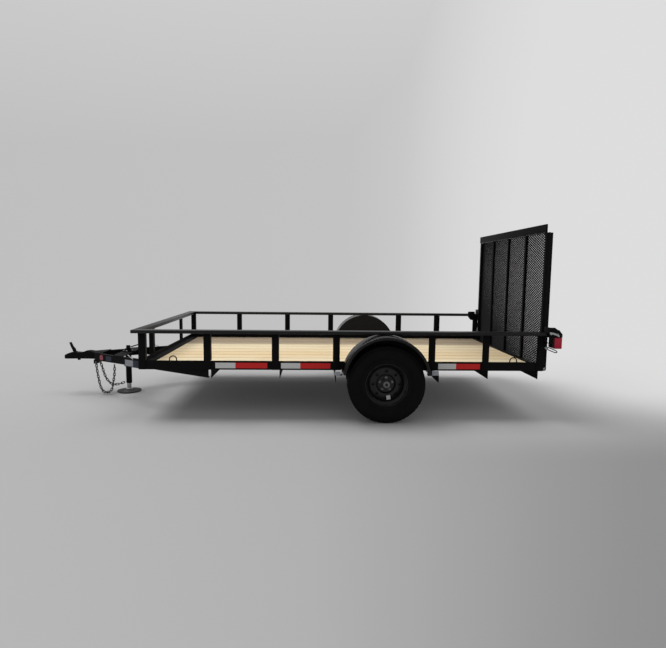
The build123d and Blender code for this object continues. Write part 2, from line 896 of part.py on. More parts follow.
# ------------------------------------------------------------------ tailgate
with BuildPart() as gate_frame:
    # angle members with a flat to the front and a leg to the rear
    depth = (at(gate_front), at(gate_rear))
    front_flat = (at(gate_front), at(gate_front + gate_steel))
    inner_y = gate_half_width - gate_member_width
    mesh_edge = gate_half_width - gate_steel
    for side in (1, -1):
        rise = (gate_bottom, gate_side_top)
        box(front_flat, (side * inner_y, side * gate_half_width), rise)
        box(depth, (side * mesh_edge, side * gate_half_width), rise)
    box(front_flat, (-inner_y, inner_y), (gate_bottom, gate_bottom + gate_member_width))
    box(depth, (-mesh_edge, mesh_edge), (gate_bottom, gate_bottom + gate_steel))
    for offset in gate_bar_offsets:
        rise = (gate_bottom + gate_member_width, gate_side_top)
        box(front_flat, (offset - gate_bar_width / 2, offset + gate_bar_width / 2), rise)
        rib = (offset - gate_steel / 2, offset + gate_steel / 2)
        box((at(gate_front), at(gate_front + gate_bar_width)), rib, rise)
    # flat tube along the top
    gate_top = gate_side_top + gate_top_bar_height
    gate_top_bar_rear = gate_top_bar_front + gate_top_bar_depth
    top_reach = (-gate_half_width, gate_half_width)
    box((at(gate_top_bar_front), at(gate_top_bar_rear)), top_reach, (gate_side_top, gate_top))
    box(
        (at(gate_top_bar_front + gate_steel), at(gate_top_bar_rear - gate_steel)),
        top_reach,
        (gate_side_top + gate_steel, gate_top - gate_steel),
        Mode.SUBTRACT,
    )
    for side in (1, -1):
        pin_end = gate_half_width + hinge_lug_gap + hinge_lug_thickness
        with BuildSketch(Plane.XZ.offset(-side * gate_half_width)):
            with Locations((at(hinge_place), hinge_height)):
                Circle(hinge_pin_radius)
        extrude(amount=-side * (pin_end - gate_half_width))
keep(gate_frame, "gate_frame")

with BuildPart() as gate_mesh:
    mesh_low = gate_bottom + gate_steel
    mesh_high = gate_side_top
    mesh_x = at(gate_front + gate_bar_width)
    with BuildSketch(Plane.YZ.offset(mesh_x - gate_sheet)):
        with Locations((0, (mesh_low + mesh_high) / 2)):
            Rectangle(2 * mesh_edge, mesh_high - mesh_low)
        rows = int((mesh_high - mesh_low) / mesh_pitch_z)
        columns = int(2 * mesh_edge / mesh_pitch_y)
        hole_y = mesh_pitch_y - mesh_strand
        hole_z = mesh_pitch_z - mesh_strand
        for row_count, column_count in ((rows, columns), (rows - 1, columns - 1)):
            with Locations((0, (mesh_low + mesh_high) / 2)):
                with GridLocations(mesh_pitch_y, mesh_pitch_z, column_count, row_count):
                    Polygon(
                        (-hole_y / 2, 0),
                        (0, -hole_z / 2),
                        (hole_y / 2, 0),
                        (0, hole_z / 2),
                        align=None,
                        mode=Mode.SUBTRACT,
                    )
    extrude(amount=gate_sheet)
keep(gate_mesh, "gate_mesh")

with BuildPart() as gate_hinge_lugs:
    for side in (1, -1):
        inner = gate_half_width + hinge_lug_gap
        outer = inner + hinge_lug_thickness
        with BuildSketch(Plane.XZ.offset(-side * inner)):
            with Locations((at(hinge_place), hinge_height)):
                Circle(hinge_lug_radius)
            with BuildLine():
                Polyline(
                    (at(hinge_place), hinge_height + hinge_lug_radius),
                    (at(sill_place), hinge_height + hinge_lug_radius),
                    (at(sill_place), hinge_height - hinge_lug_radius),
                    (at(hinge_place), hinge_height - hinge_lug_radius),
                    close=True,
                )
            make_face()
            with Locations((at(hinge_place), hinge_height)):
                Circle(hinge_pin_radius + hinge_clearance, mode=Mode.SUBTRACT)
        extrude(amount=-side * hinge_lug_thickness)
keep(gate_hinge_lugs, "gate_hinge_lugs")

# ------------------------------------------------------------------ tail lamps
lamp_top = lamp_bottom + lamp_height
with BuildPart() as lamp_brackets:
    for side in (1, -1):
        reach = (side * lamp_inner, side * (lamp_inner + lamp_width))
        bracket = (at(frame_length), at(rear_reach))
        box(bracket, reach, (lamp_top, lamp_top + steel))
        with BuildSketch(Plane.XZ.offset(-side * (lamp_inner + lamp_width - steel))):
            with BuildLine():
                Polyline(
                    (at(frame_length), lamp_top + steel),
                    (at(frame_length), lamp_top + lamp_box_height),
                    (at(frame_length + 50), lamp_top + lamp_box_height),
                    (at(frame_length + 75), lamp_top + lamp_box_height - 18),
                    (at(rear_reach - 30), lamp_top + lamp_box_height - 24),
                    (at(rear_reach), lamp_top + 30),
                    (at(rear_reach), lamp_top + steel),
                    close=True,
                )
            make_face()
        extrude(amount=-side * steel)
        front_wall = (at(frame_length), at(frame_length + steel))
        box(front_wall, reach, (lamp_top + steel, lamp_top + lamp_box_height))
keep(lamp_brackets, "lamp_brackets")

with BuildPart() as tail_lamps:
    for side in (1, -1):
        box(
            (at(rear_reach - lamp_depth), at(rear_reach)),
            (side * lamp_inner, side * (lamp_inner + lamp_width)),
            (lamp_bottom, lamp_top),
        )
keep(tail_lamps, "tail_lamps")

# ------------------------------------------------------------------ tie-down rings
with BuildPart() as tie_rings:
    for side in (1, -1):
        for place in ring_places:
            x = at(place)
            top = deck_top + ring_leg
            with BuildLine() as ring_line:
                Line((x - ring_radius, side * ring_y, deck_top), (x - ring_radius, side * ring_y, top))
                ThreePointArc(
                    (x - ring_radius, side * ring_y, top),
                    (x, side * ring_y, top + ring_radius),
                    (x + ring_radius, side * ring_y, top),
                )
                Line((x + ring_radius, side * ring_y, top), (x + ring_radius, side * ring_y, deck_top))
            with BuildSketch(Plane(ring_line.line @ 0, z_dir=ring_line.line % 0)):
                Circle(ring_rod)
            sweep(path=ring_line.line)
keep(tie_rings, "tie_rings")

# ------------------------------------------------------------------ gate latches
with BuildPart() as gate_latches:
    for side in (1, -1):
        post_face = side * post_outer
        box(
            (at(latch_place - 60), at(latch_place + 14)),
            (post_face, side * (post_outer + steel)),
            (latch_height - 32, latch_height + 32),
        )
        # spring bolt, drawn short of the gate
        with BuildSketch(Plane.XZ.offset(-side * latch_bolt_inner)):
            with Locations((at(latch_place), latch_height)):
                Circle(latch_bolt_radius)
        extrude(amount=-side * latch_bolt_length)
        # pull loop
        loop_y = side * (latch_bolt_inner + latch_bolt_length - 5)
        with BuildSketch(Plane.XZ.offset(-loop_y)):
            loop_place = (at(latch_place + latch_loop_length / 2), latch_height - latch_loop_drop)
            with Locations(loop_place):
                SlotOverall(latch_loop_length, latch_loop_width)
                SlotOverall(latch_loop_length - 14, latch_loop_width - 14, mode=Mode.SUBTRACT)
        extrude(amount=3, both=True)
keep(gate_latches, "gate_latches")

# ------------------------------------------------------------------ safety chains


def along(path, distance):
    """Point and direction on a chain's path at a distance from its first point."""
    for start, end in zip(path, path[1:]):
        step = (end - start).length
        if distance <= step:
            return start + (end - start) * (distance / step), (end - start).normalized()
        distance -= step
    return None


for name, route in (("left", chain_left_route), ("right", chain_right_route)):
    points = [Vector(at(behind), y, z) for behind, y, z in route]
    curve = Spline(*points)
    path = [curve.position_at(step / 200) for step in range(201)]
    with BuildPart() as chain:
        count = int(curve.length / (chain_pitch - chain_slack))
        for index in range(count):
            here, direction = along(path, (index + 0.5) * (chain_pitch - chain_slack))
            across = Vector(0, 1, 0) if index % 2 else direction.cross(Vector(0, 1, 0)).normalized()
            across = (across - direction * across.dot(direction)).normalized()
            with BuildSketch(Plane(here, x_dir=direction, z_dir=across).offset(-chain_wire / 2)):
                for growth, mode in ((2 * chain_wire, Mode.ADD), (0, Mode.SUBTRACT)):
                    half_long = (chain_pitch + growth) / 2
                    half_wide = (chain_link_width - 2 * chain_wire + growth) / 2
                    corner = half_wide * 0.45
                    Polygon(
                        (half_long, -half_wide + corner),
                        (half_long, half_wide - corner),
                        (half_long - corner, half_wide),
                        (-half_long + corner, half_wide),
                        (-half_long, half_wide - corner),
                        (-half_long, -half_wide + corner),
                        (-half_long + corner, -half_wide),
                        (half_long - corner, -half_wide),
                        align=None,
                        mode=mode,
                    )
            extrude(amount=chain_wire)
    keep(chain, f"chain_{name}")
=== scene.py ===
from math import asin, atan2, cos, hypot, pi, radians, sin, sqrt

import bmesh
import bpy
from mathutils import Matrix, Vector


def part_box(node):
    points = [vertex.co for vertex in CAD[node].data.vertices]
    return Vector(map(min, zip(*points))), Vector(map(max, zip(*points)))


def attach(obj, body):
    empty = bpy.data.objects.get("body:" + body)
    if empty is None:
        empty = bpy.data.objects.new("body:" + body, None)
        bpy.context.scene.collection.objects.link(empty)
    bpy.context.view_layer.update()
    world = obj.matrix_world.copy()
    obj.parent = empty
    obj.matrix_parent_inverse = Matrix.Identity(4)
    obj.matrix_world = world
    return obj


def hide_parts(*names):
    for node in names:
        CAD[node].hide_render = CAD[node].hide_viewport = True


bl_info = {
    "name": "Utility Trailer",
    "version": (1, 0, 0),
    "blender": (4, 5, 0),
    "location": "3D Viewport > Sidebar > Trailer",
    "description": "Dresses the frame of a single-axle utility trailer",
    "category": "Object",
}

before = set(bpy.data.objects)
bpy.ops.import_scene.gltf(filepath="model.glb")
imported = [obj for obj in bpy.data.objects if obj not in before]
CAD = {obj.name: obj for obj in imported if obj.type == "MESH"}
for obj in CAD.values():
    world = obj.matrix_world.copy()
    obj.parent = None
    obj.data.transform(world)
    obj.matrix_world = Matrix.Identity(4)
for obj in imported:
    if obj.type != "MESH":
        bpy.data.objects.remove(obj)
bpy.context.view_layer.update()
MM = 0.001
SIDES = (("left", 1), ("right", -1))


# ---------------------------------------------------------------- places read from the frame


def low(node):
    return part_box(node)[0]


def high(node):
    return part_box(node)[1]


# the frame starts a little ahead of the line that places are counted from
FRAME_FRONT = -28
FRONT_X = high("side_rail_left").x + FRAME_FRONT * MM
RAIL_OUTER = high("side_rail_left").y
RAIL_LOW = low("side_rail_left").z
RAIL_TOP = high("side_rail_left").z
DECK_TOP = high("deck_boards").z
AXLE_X = (low("tyre_left").x + high("tyre_left").x) / 2
AXLE_Z = (low("tyre_left").z + high("tyre_left").z) / 2
WHEEL_Y = (low("tyre_left").y + high("tyre_left").y) / 2
TYRE_R = (high("tyre_left").z - low("tyre_left").z) / 2
FENDER_R = 0.390
FENDER_Z = high("fender_left").z - FENDER_R


def behind(distance_mm):
    """X of a place this far behind the line at the front of the deck."""
    return FRONT_X - distance_mm * MM


# ---------------------------------------------------------------- shader maths


class Value:
    """A socket with operators; every operation adds its node."""

    def __init__(self, nodes, socket):
        self.nodes = nodes
        self.socket = socket

    def math(self, operation, *others):
        node = self.nodes.tree.nodes.new("ShaderNodeMath")
        node.operation = operation
        for slot, value in zip(node.inputs, (self, *others)):
            self.nodes.feed(slot, value)
        return Value(self.nodes, node.outputs[0])

    def __add__(self, other):
        return self.math("ADD", other)

    __radd__ = __add__

    def __sub__(self, other):
        return self.math("SUBTRACT", other)

    def __rsub__(self, other):
        return self.math("MULTIPLY_ADD", -1.0, other)

    def __mul__(self, other):
        return self.math("MULTIPLY", other)

    __rmul__ = __mul__

    def __truediv__(self, other):
        return self.math("DIVIDE", other)

    def __pow__(self, other):
        return self.math("POWER", other)

    def floor(self):
        return self.math("FLOOR")

    def fract(self):
        return self.math("FRACT")

    def abs(self):
        return self.math("ABSOLUTE")

    def smooth(self, start, end):
        """0 up to start, 1 from end, eased between."""
        return self.nodes.node(
            "ShaderNodeMapRange",
            {"interpolation_type": "SMOOTHSTEP"},
            {"Value": self, "From Min": start, "From Max": end},
        )


class Material:
    """A Principled material written as expressions."""

    def __init__(self, name, **fixed):
        self.made = bpy.data.materials.new(name)
        self.made.use_nodes = True
        self.tree = self.made.node_tree
        self.shader = self.tree.nodes["Principled BSDF"]
        self.set(**fixed)

    def feed(self, socket, value):
        if isinstance(value, Value):
            self.tree.links.new(value.socket, socket)
        elif value is not None:
            socket.default_value = value

    def node(self, kind, settings=None, values=None, out=0):
        made = self.tree.nodes.new(kind)
        for key, value in (settings or {}).items():
            if key == "stops":
                ramp = made.color_ramp
                while len(ramp.elements) < len(value):
                    ramp.elements.new(0.5)
                for element, (place, colour) in zip(ramp.elements, value):
                    element.position = place
                    element.color = (*colour, 1.0)
            else:
                setattr(made, key, value)
        for key, value in (values or {}).items():
            self.feed(made.inputs[key], value)
        return Value(self, made.outputs[out])

    def set(self, **values):
        for key, value in values.items():
            self.feed(self.shader.inputs[key.replace("_", " ")], value)

    def place(self):
        """Object coordinates, which are metres in the frame."""
        return self.node("ShaderNodeTexCoord", out=3)

    def joined(self, x, y, z):
        return self.node("ShaderNodeCombineXYZ", None, {"X": x, "Y": y, "Z": z})

    def show(self, surface):
        """Join the last shader to the tree's own output."""
        target = next(node for node in self.tree.nodes if node.bl_idname.startswith("ShaderNodeOutput"))
        self.feed(target.inputs["Surface"], surface)

    def chance(self, number):
        """A random share that stays the same for the same number."""
        return self.node("ShaderNodeTexWhiteNoise", {"noise_dimensions": "1D"}, {"W": number})

    def axes(self, vector=None):
        made = self.tree.nodes.new("ShaderNodeSeparateXYZ")
        self.feed(made.inputs[0], vector or self.place())
        return [Value(self, output) for output in made.outputs]

    def noise(self, vector, scale, detail=3.0, rough=0.5):
        values = {"Vector": vector, "Scale": scale, "Detail": detail, "Roughness": rough}
        return self.node("ShaderNodeTexNoise", None, values)

    def ramp(self, value, *stops):
        return self.node("ShaderNodeValToRGB", {"stops": stops}, {"Fac": value})

    def mix(self, amount, first, second, blend="MIX"):
        made = self.tree.nodes.new("ShaderNodeMix")
        made.data_type = "RGBA"
        made.blend_type = blend
        self.feed(made.inputs[0], amount)
        for socket, value in ((made.inputs[6], first), (made.inputs[7], second)):
            self.feed(socket, value if isinstance(value, Value) else (*value, 1.0))
        return Value(self, made.outputs[2])

    def bump(self, height, distance, strength):
        values = {"Height": height, "Distance": distance, "Strength": strength}
        return self.node("ShaderNodeBump", None, values)


class Tree(Material):
    """The same expressions in a tree that is there already."""

    def __init__(self, tree):
        self.tree = tree


# ---------------------------------------------------------------- finishes


def powder_coat(name, colour, roughness=0.6, dust=0.06, sheen=0.09):
    """Sprayed black coat: faint orange peel, uneven sheen, dust in patches."""
    m = Material(name, Metallic=0.0, Specular_IOR_Level=sheen)
    spot = m.place()
    peel = m.noise(spot, 420.0, 2.0)
    broad = m.noise(spot, 2.6, 4.0, 0.6)
    specks = m.noise(spot, 60.0, 3.0, 0.7)
    dusty = (broad.smooth(0.48, 0.74) * specks.smooth(0.35, 0.7)) * dust
    m.set(
        Base_Color=m.mix(dusty, colour, (0.09, 0.088, 0.085)),
        Roughness=(broad * 0.16 + (roughness - 0.08)) + dusty * 0.5,
        Normal=m.bump(peel, 0.00015, 0.35),
    )
    return m.made


def wood_boards(name, pitch, first):
    """Pine boards: long grain with rings, knots and a tint for each board, with a painted shadow on the
    right-hand boards and painted shade on their sides and undersides.
    """
    m = Material(name, Metallic=0.0, Specular_IOR_Level=0.3)
    x, y, z = m.axes()
    number = ((y - first) / pitch).floor()
    toss = m.chance(number * 7.13 + 3.1)
    tint = m.chance(number * 3.7 + 11.0)
    along = x + toss * 9.0
    across = (y - first) - number * pitch
    wander = m.noise(m.joined(along * 0.8, toss * 5.0, 0.0), 1.6, 2.0)
    centre = pitch * 0.5 + (wander - 0.5) * pitch * 1.1
    spot = m.joined(along * 0.55, (across - centre) * 14.0, z * 14.0 + toss * 20.0)
    rings = m.node(
        "ShaderNodeTexWave",
        {"wave_type": "BANDS", "bands_direction": "Y", "wave_profile": "SIN"},
        {
            "Vector": spot,
            "Scale": 1.5,
            "Distortion": 5.0,
            "Detail": 2.0,
            "Detail Scale": 0.8,
            "Detail Roughness": 0.5,
        },
        out=1,
    )
    fibre = m.noise(m.joined(along * 2.2, y * 160.0, z * 160.0), 1.0, 4.0, 0.65)
    spread = m.joined(along * 1.25, y * 3.4, 0.0)
    near = m.node("ShaderNodeTexVoronoi", None, {"Vector": spread, "Scale": 1.0})
    knot = 1.0 - near.smooth(0.05, 0.1)
    halo = 1.0 - near.smooth(0.06, 0.3)
    grain = rings.smooth(0.35, 0.95)
    pale = m.mix(tint, (1.0, 0.91, 0.65), (1.0, 0.83, 0.53))
    band = m.mix(tint, (0.92, 0.68, 0.40), (0.80, 0.53, 0.26))
    colour = m.mix(grain * 0.9, pale, band)
    colour = m.mix(fibre.smooth(0.45, 0.75) * 0.6, colour, (0.56, 0.38, 0.20))
    colour = m.mix(halo * 0.35, colour, (0.70, 0.46, 0.24))
    colour = m.mix(knot * 0.85, colour, (0.25, 0.13, 0.06))
    # painted shadow: the right-hand boards are darkened as the shadow of the far top rail falling on them;
    # the boards' sides and undersides are painted dark as shade
    painted_rail_shadow = (y * -1.0 + fibre * 0.12).smooth(0.30, 0.56)
    colour = m.mix(painted_rail_shadow * 0.85, colour, (0.30, 0.23, 0.16))
    seam = across.smooth(0.001, 0.010) * (pitch - across).smooth(0.001, 0.010)
    colour = m.mix((1.0 - seam) * 0.9, colour, (0.14, 0.08, 0.04))
    # painted shade: below its top face each board turns dark
    top = z.smooth(DECK_TOP - 0.006, DECK_TOP - 0.002)
    colour = m.mix(top, (0.055, 0.052, 0.048), colour)
    m.set(
        Base_Color=colour,
        Roughness=0.62 + fibre * 0.2,
        Normal=m.bump(fibre * 0.6 + rings * 0.4, 0.0007, 0.5),
    )
    return m.made


def tyre_rubber():
    """Matt rubber, greyed in patches by dust."""
    m = Material("tyre_rubber", Metallic=0.0, Specular_IOR_Level=0.12)
    spot = m.place()
    fine = m.noise(spot, 900.0, 2.0)
    broad = m.noise(spot, 5.0, 4.0, 0.6)
    m.set(
        Base_Color=m.mix(broad.smooth(0.4, 0.8) * 0.5, (0.0028, 0.0028, 0.003), (0.010, 0.0098, 0.0095)),
        Roughness=0.62 + broad * 0.2,
        Normal=m.bump(fine, 0.0001, 0.4),
    )
    return m.made


def zinc_plate(name, pale, dull, painted_up_to=None):
    """Zinc with duller clouds, painted dark up to a height if one is given."""
    m = Material(name, Metallic=1.0)
    spot = m.place()
    broad = m.noise(spot, 14.0, 4.0, 0.6)
    colour = m.mix(broad.smooth(0.35, 0.75), pale, dull)
    roughness = 0.34 + broad * 0.3
    if painted_up_to is not None:
        z = m.axes()[2]
        bare = z.smooth(painted_up_to - 0.001, painted_up_to + 0.001)
        colour = m.mix(bare, (0.035, 0.035, 0.034), colour)
        roughness = roughness + (1.0 - bare) * 0.15
        m.set(Metallic=bare)
    m.set(
        Base_Color=colour,
        Roughness=roughness,
        Normal=m.bump(m.noise(spot, 300.0, 3.0), 0.0002, 0.3),
    )
    return m.made


def gloss_black():
    """Glossy enamel on the wheels, dulled in patches."""
    m = Material("wheel_gloss_black", Metallic=0.0, Coat_Roughness=0.12, Specular_IOR_Level=0.3)
    spot = m.place()
    broad = m.noise(spot, 6.0, 4.0, 0.6)
    m.set(
        Base_Color=m.mix(broad.smooth(0.5, 0.8) * 0.4, (0.0055, 0.0055, 0.0057), (0.015, 0.0145, 0.014)),
        Roughness=0.24 + broad * 0.2,
        Coat_Weight=0.15,
        Normal=m.bump(m.noise(spot, 350.0, 2.0), 0.0001, 0.25),
    )
    return m.made


def tape_finish(name, colour):
    """Retroreflective tape: diamond cells under a clear film."""
    m = Material(name, Metallic=0.0, Coat_Roughness=0.1, Specular_IOR_Level=0.15)
    x, _, z = m.axes()
    cells = ((x + z) * 220.0).fract().abs() + ((x - z) * 220.0).fract().abs()
    lattice = cells.smooth(0.1, 0.35)
    m.set(
        Base_Color=m.mix(lattice * 0.75 + 0.25, tuple(0.62 * c for c in colour), colour),
        Roughness=0.5,
        Coat_Weight=0.08,
        Normal=m.bump(cells, 0.0002, 0.3),
    )
    return m.made


def lens_finish():
    """Red plastic with upright flutes."""
    m = Material("lens_red", Metallic=0.0, Coat_Roughness=0.05, Specular_IOR_Level=0.3)
    y = m.axes()[1]
    flutes = (y * 200.0).fract()
    m.set(
        Base_Color=m.mix(flutes.smooth(0.0, 1.0) * 0.5, (0.50, 0.008, 0.035), (0.26, 0.004, 0.018)),
        Roughness=0.22,
        Coat_Weight=0.2,
        Normal=m.bump(flutes, 0.0008, 0.4),
    )
    return m.made


def plain_finish(name, colour, roughness):
    """Moulded plastic or printed film with faint clouds and a fine grain."""
    m = Material(name, Metallic=0.0, Specular_IOR_Level=0.3)
    spot = m.place()
    broad = m.noise(spot, 22.0, 4.0, 0.6)
    m.set(
        Base_Color=m.mix(broad.smooth(0.4, 0.8) * 0.4, colour, tuple(0.7 * c for c in colour)),
        Roughness=roughness + broad * 0.12,
        Normal=m.bump(m.noise(spot, 380.0, 2.0), 0.0001, 0.3),
    )
    return m.made


# ---------------------------------------------------------------- mesh helpers


def finish_piece(name, bm, finish, *stands_for, body="trailer", smooth=True, angle=35.0):
    """Turn a bmesh into an object that rides on a body, and hide the nodes it stands for."""
    mesh = bpy.data.meshes.new(name)
    bmesh.ops.recalc_face_normals(bm, faces=bm.faces[:])
    if smooth:
        for face in bm.faces:
            face.smooth = True
        for edge in bm.edges:
            if len(edge.link_faces) != 2 or edge.calc_face_angle(0.0) > radians(angle):
                edge.smooth = False
    bm.to_mesh(mesh)
    bm.free()
    mesh.materials.append(FINISH[finish])
    piece = bpy.data.objects.new(name, mesh)
    bpy.context.scene.collection.objects.link(piece)
    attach(piece, body)
    if stands_for:
        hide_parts(*stands_for)


def round_edges(bm, edges, width, segments, clamp=False):
    bmesh.ops.bevel(
        bm,
        geom=edges,
        offset=width,
        segments=segments,
        profile=0.5,
        affect="EDGES",
        clamp_overlap=clamp,
        material=-1,
    )


def put(bm, verts, matrix):
    bmesh.ops.transform(bm, matrix=matrix, verts=verts, space=Matrix())


def spin(bm, geom, centre, axis, angle, steps):
    bmesh.ops.spin(
        bm,
        geom=geom,
        cent=centre,
        axis=axis,
        dvec=(0, 0, 0),
        angle=angle,
        steps=steps,
        use_merge=angle == 2 * pi,
        use_normal_flip=False,
        use_duplicate=False,
    )


def cut_off(bm, place, way):
    """Cut away what lies past a plane."""
    bmesh.ops.bisect_plane(
        bm,
        geom=bm.verts[:] + bm.edges[:] + bm.faces[:],
        dist=1e-6,
        plane_co=place,
        plane_no=way,
        clear_outer=True,
    )


def add_block(bm, lows, highs, bevel=0.0, segments=1):
    """A block between two corners with its edges rounded; gives its vertices."""
    before = set(bm.verts)
    centre = [(a + b) / 2 for a, b in zip(lows, highs)]
    size = [abs(b - a) for a, b in zip(lows, highs)]
    made = bmesh.ops.create_cube(bm, size=1.0)["verts"]
    bmesh.ops.scale(bm, vec=size, verts=made)
    bmesh.ops.translate(bm, vec=centre, verts=made)
    if bevel:
        edges = dict.fromkeys(edge for vert in made for edge in vert.link_edges)
        round_edges(bm, list(edges), bevel, segments)
    return [vert for vert in bm.verts if vert not in before]


def add_ring(bm, profile, place, steps):
    """Spin a profile of (radius, y) pairs all the way round an axis along y."""
    verts = [bm.verts.new(Vector(place) + Vector((radius, y, 0))) for radius, y in profile]
    edges = [bm.edges.new(pair) for pair in zip(verts, verts[1:])]
    spin(bm, verts + edges, place, (0, 1, 0), 2 * pi, steps)
    bmesh.ops.remove_doubles(bm, verts=bm.verts[:], dist=1e-6)


def add_cylinder(bm, radius, height, place, axis, sides, bevel=0.0):
    """A capped cylinder centred on place; gives the vertices of an unbevelled one."""
    turn = {"Z": Matrix(), "X": Matrix.Rotation(pi / 2, 4, "Y"), "Y": Matrix.Rotation(pi / 2, 4, "X")}
    made = bmesh.ops.create_cone(
        bm,
        cap_ends=True,
        segments=sides,
        radius1=radius,
        radius2=radius,
        depth=height,
        matrix=Matrix.Translation(place) @ turn[axis],
    )["verts"]
    if bevel:
        edges = dict.fromkeys(edge for vert in made for edge in vert.link_edges)
        rims = [edge for edge in edges if any(len(face.verts) > 4 for face in edge.link_faces)]
        round_edges(bm, rims, bevel, 2)
    return made


def add_curve(bm, curve):
    """Add a curve's mesh to a bmesh, and remove the curve."""
    holder = bpy.data.objects.new("curve", curve)
    mesh = bpy.data.meshes.new_from_object(holder)
    bm.from_mesh(mesh)
    bpy.data.objects.remove(holder)
    bpy.data.curves.remove(curve)
    bpy.data.meshes.remove(mesh)


def round_curve(radius, resolution):
    curve = bpy.data.curves.new("wire", "CURVE")
    curve.dimensions = "3D"
    curve.bevel_depth = radius
    curve.bevel_resolution = resolution
    return curve


def add_wire(bm, points, radius, closed=False, straight=False, sides=8, resolution=6):
    """A round wire along points, smooth unless it is straight."""
    curve = round_curve(radius, max(0, sides // 2 - 2))
    curve.use_fill_caps = not closed
    spline = curve.splines.new("POLY" if straight else "NURBS")
    spline.points.add(len(points) - 1)
    for point, spot in zip(spline.points, points):
        point.co = (*spot, 1.0)
    spline.use_cyclic_u = closed
    if not straight:
        spline.order_u = 3
        spline.use_endpoint_u = not closed
        spline.resolution_u = resolution
    add_curve(bm, curve)


def merged(node):
    """A CAD node's mesh with its loose triangles joined."""
    bm = bmesh.new()
    bm.from_mesh(CAD[node].data)
    bmesh.ops.remove_doubles(bm, verts=bm.verts[:], dist=2e-5)
    return bm


def soften(bm, width, segments=2, angle=30.0):
    """Join flat faces and round the sharp edges between them."""
    bmesh.ops.dissolve_limit(
        bm,
        angle_limit=radians(1.0),
        verts=bm.verts[:],
        edges=bm.edges[:],
        use_dissolve_boundaries=False,
        delimit=set(),
    )
    sharp = [
        edge
        for edge in bm.edges
        if len(edge.link_faces) == 2 and edge.calc_face_angle(0.0) > radians(angle)
    ]
    round_edges(bm, sharp, width, segments, clamp=True)


def islands(bm):
    """Corner positions of each separate solid in a mesh."""
    left = set(bm.verts)
    found = []
    for start in bm.verts:
        if start not in left:
            continue
        left.discard(start)
        group, ends = [start], [start]
        while ends:
            for edge in ends.pop().link_edges:
                for vert in edge.verts:
                    if vert in left:
                        left.discard(vert)
                        group.append(vert)
                        ends.append(vert)
        found.append([vert.co.copy() for vert in group])
    return found


def solids(node):
    """Corner positions of each separate solid of a CAD node."""
    bm = merged(node)
    found = islands(bm)
    bm.free()
    return found


def cad_material(finish, *nodes):
    for node in nodes:
        CAD[node].data.materials.clear()
        CAD[node].data.materials.append(FINISH[finish])


# ---------------------------------------------------------------- settings


def length(name, description, default):
    return bpy.props.FloatProperty(name=name, description=description, default=default, unit="LENGTH")


def colour(name, description, default):
    return bpy.props.FloatVectorProperty(
        name=name, description=description, default=default, subtype="COLOR"
    )


class TrailerSizes(bpy.types.PropertyGroup):
    mesh_wide: length("Mesh width", "Length of one diamond of the gate", 0.052)
    mesh_high: length("Mesh height", "Height of one diamond", 0.024)
    mesh_strand: length("Strand width", "Width of a strand of the mesh", 0.0078)
    mesh_deep: length("Strand depth", "Depth of a strand of the mesh", 0.0150)
    steel_edge: length("Steel edge", "Rounding of the frame's edges", 0.0012)
    tread_depth: length("Tread depth", "Depth of the tyre's grooves", 0.008)
    tread_pitches: bpy.props.IntProperty(
        name="Tread pitches", description="Blocks round the tyre", default=84, min=20
    )


class TrailerColours(bpy.types.PropertyGroup):
    coat: colour("Coat", "Frame's black coat", (0.004, 0.004, 0.0043))
    gate: colour("Gate mesh", "Expanded metal", (0.010, 0.010, 0.0105))
    tape_red: colour("Tape red", "Red tape", (0.72, 0.025, 0.025))
    tape_white: colour("Tape white", "White tape", (0.72, 0.72, 0.72))


FINISH = {}


def finishes():
    colours = bpy.context.scene.trailer_colours
    FINISH.update(
        coat=powder_coat("powder_coat", tuple(colours.coat)),
        rail=powder_coat("top_rail_coat", (0.005, 0.005, 0.0054), 0.30, 0.1, 0.3),
        fender=powder_coat("fender_coat", (0.004, 0.004, 0.0043), 0.24, 0.03, 0.28),
        # painted reflection: the backing plates are a paler grey than the fenders' black, standing in for the
        # light the black coat reflects
        backing=powder_coat("fender_backing_painted_sheen", (0.026, 0.026, 0.0268), 0.7, 0.0, 0.03),
        steel_dark=powder_coat("spring_steel", (0.012, 0.0118, 0.0115), 0.5, 0.3),
        gate=powder_coat("gate_mesh_coat", tuple(colours.gate), 0.42),
        wheel=gloss_black(),
        rubber=tyre_rubber(),
        zinc=zinc_plate("zinc_plate", (0.62, 0.63, 0.64), (0.36, 0.36, 0.35)),
        chain=zinc_plate("chain_zinc", (0.19, 0.19, 0.19), (0.08, 0.08, 0.078)),
        jack=zinc_plate("jack_leg_zinc", (0.50, 0.50, 0.51), (0.30, 0.30, 0.29), 0.035),
        nut=zinc_plate("lug_nut_plate", (0.24, 0.24, 0.245), (0.12, 0.12, 0.12)),
        edge=zinc_plate("rim_edge_metal", (0.075, 0.075, 0.076), (0.045, 0.045, 0.045)),
        cap=zinc_plate("cap_plate", (0.26, 0.26, 0.265), (0.16, 0.16, 0.16)),
        sticker=plain_finish("blank_sticker", (0.62, 0.63, 0.64), 0.4),
        red=tape_finish("tape_red", tuple(colours.tape_red)),
        white=tape_finish("tape_white", tuple(colours.tape_white)),
        lens=lens_finish(),
        plastic=plain_finish("lamp_housing", (0.005, 0.005, 0.0055), 0.45),
        label_dark=plain_finish("label_back", (0.022, 0.027, 0.05), 0.4),
        reflector=plain_finish("round_reflector", (0.30, 0.07, 0.09), 0.3),
        blank=plain_finish("blank_plate", (0.36, 0.37, 0.40), 0.4),
    )
    # each board fills one pitch, with half of the gap on either side
    gap = 0.005
    boards = len({round(v.co.y, 4) for v in CAD["deck_boards"].data.vertices}) // 2
    pitch = (high("deck_boards").y - low("deck_boards").y + gap) / boards
    FINISH["wood"] = wood_boards("pine_boards", pitch, low("deck_boards").y - gap / 2)


# ---------------------------------------------------------------- operators


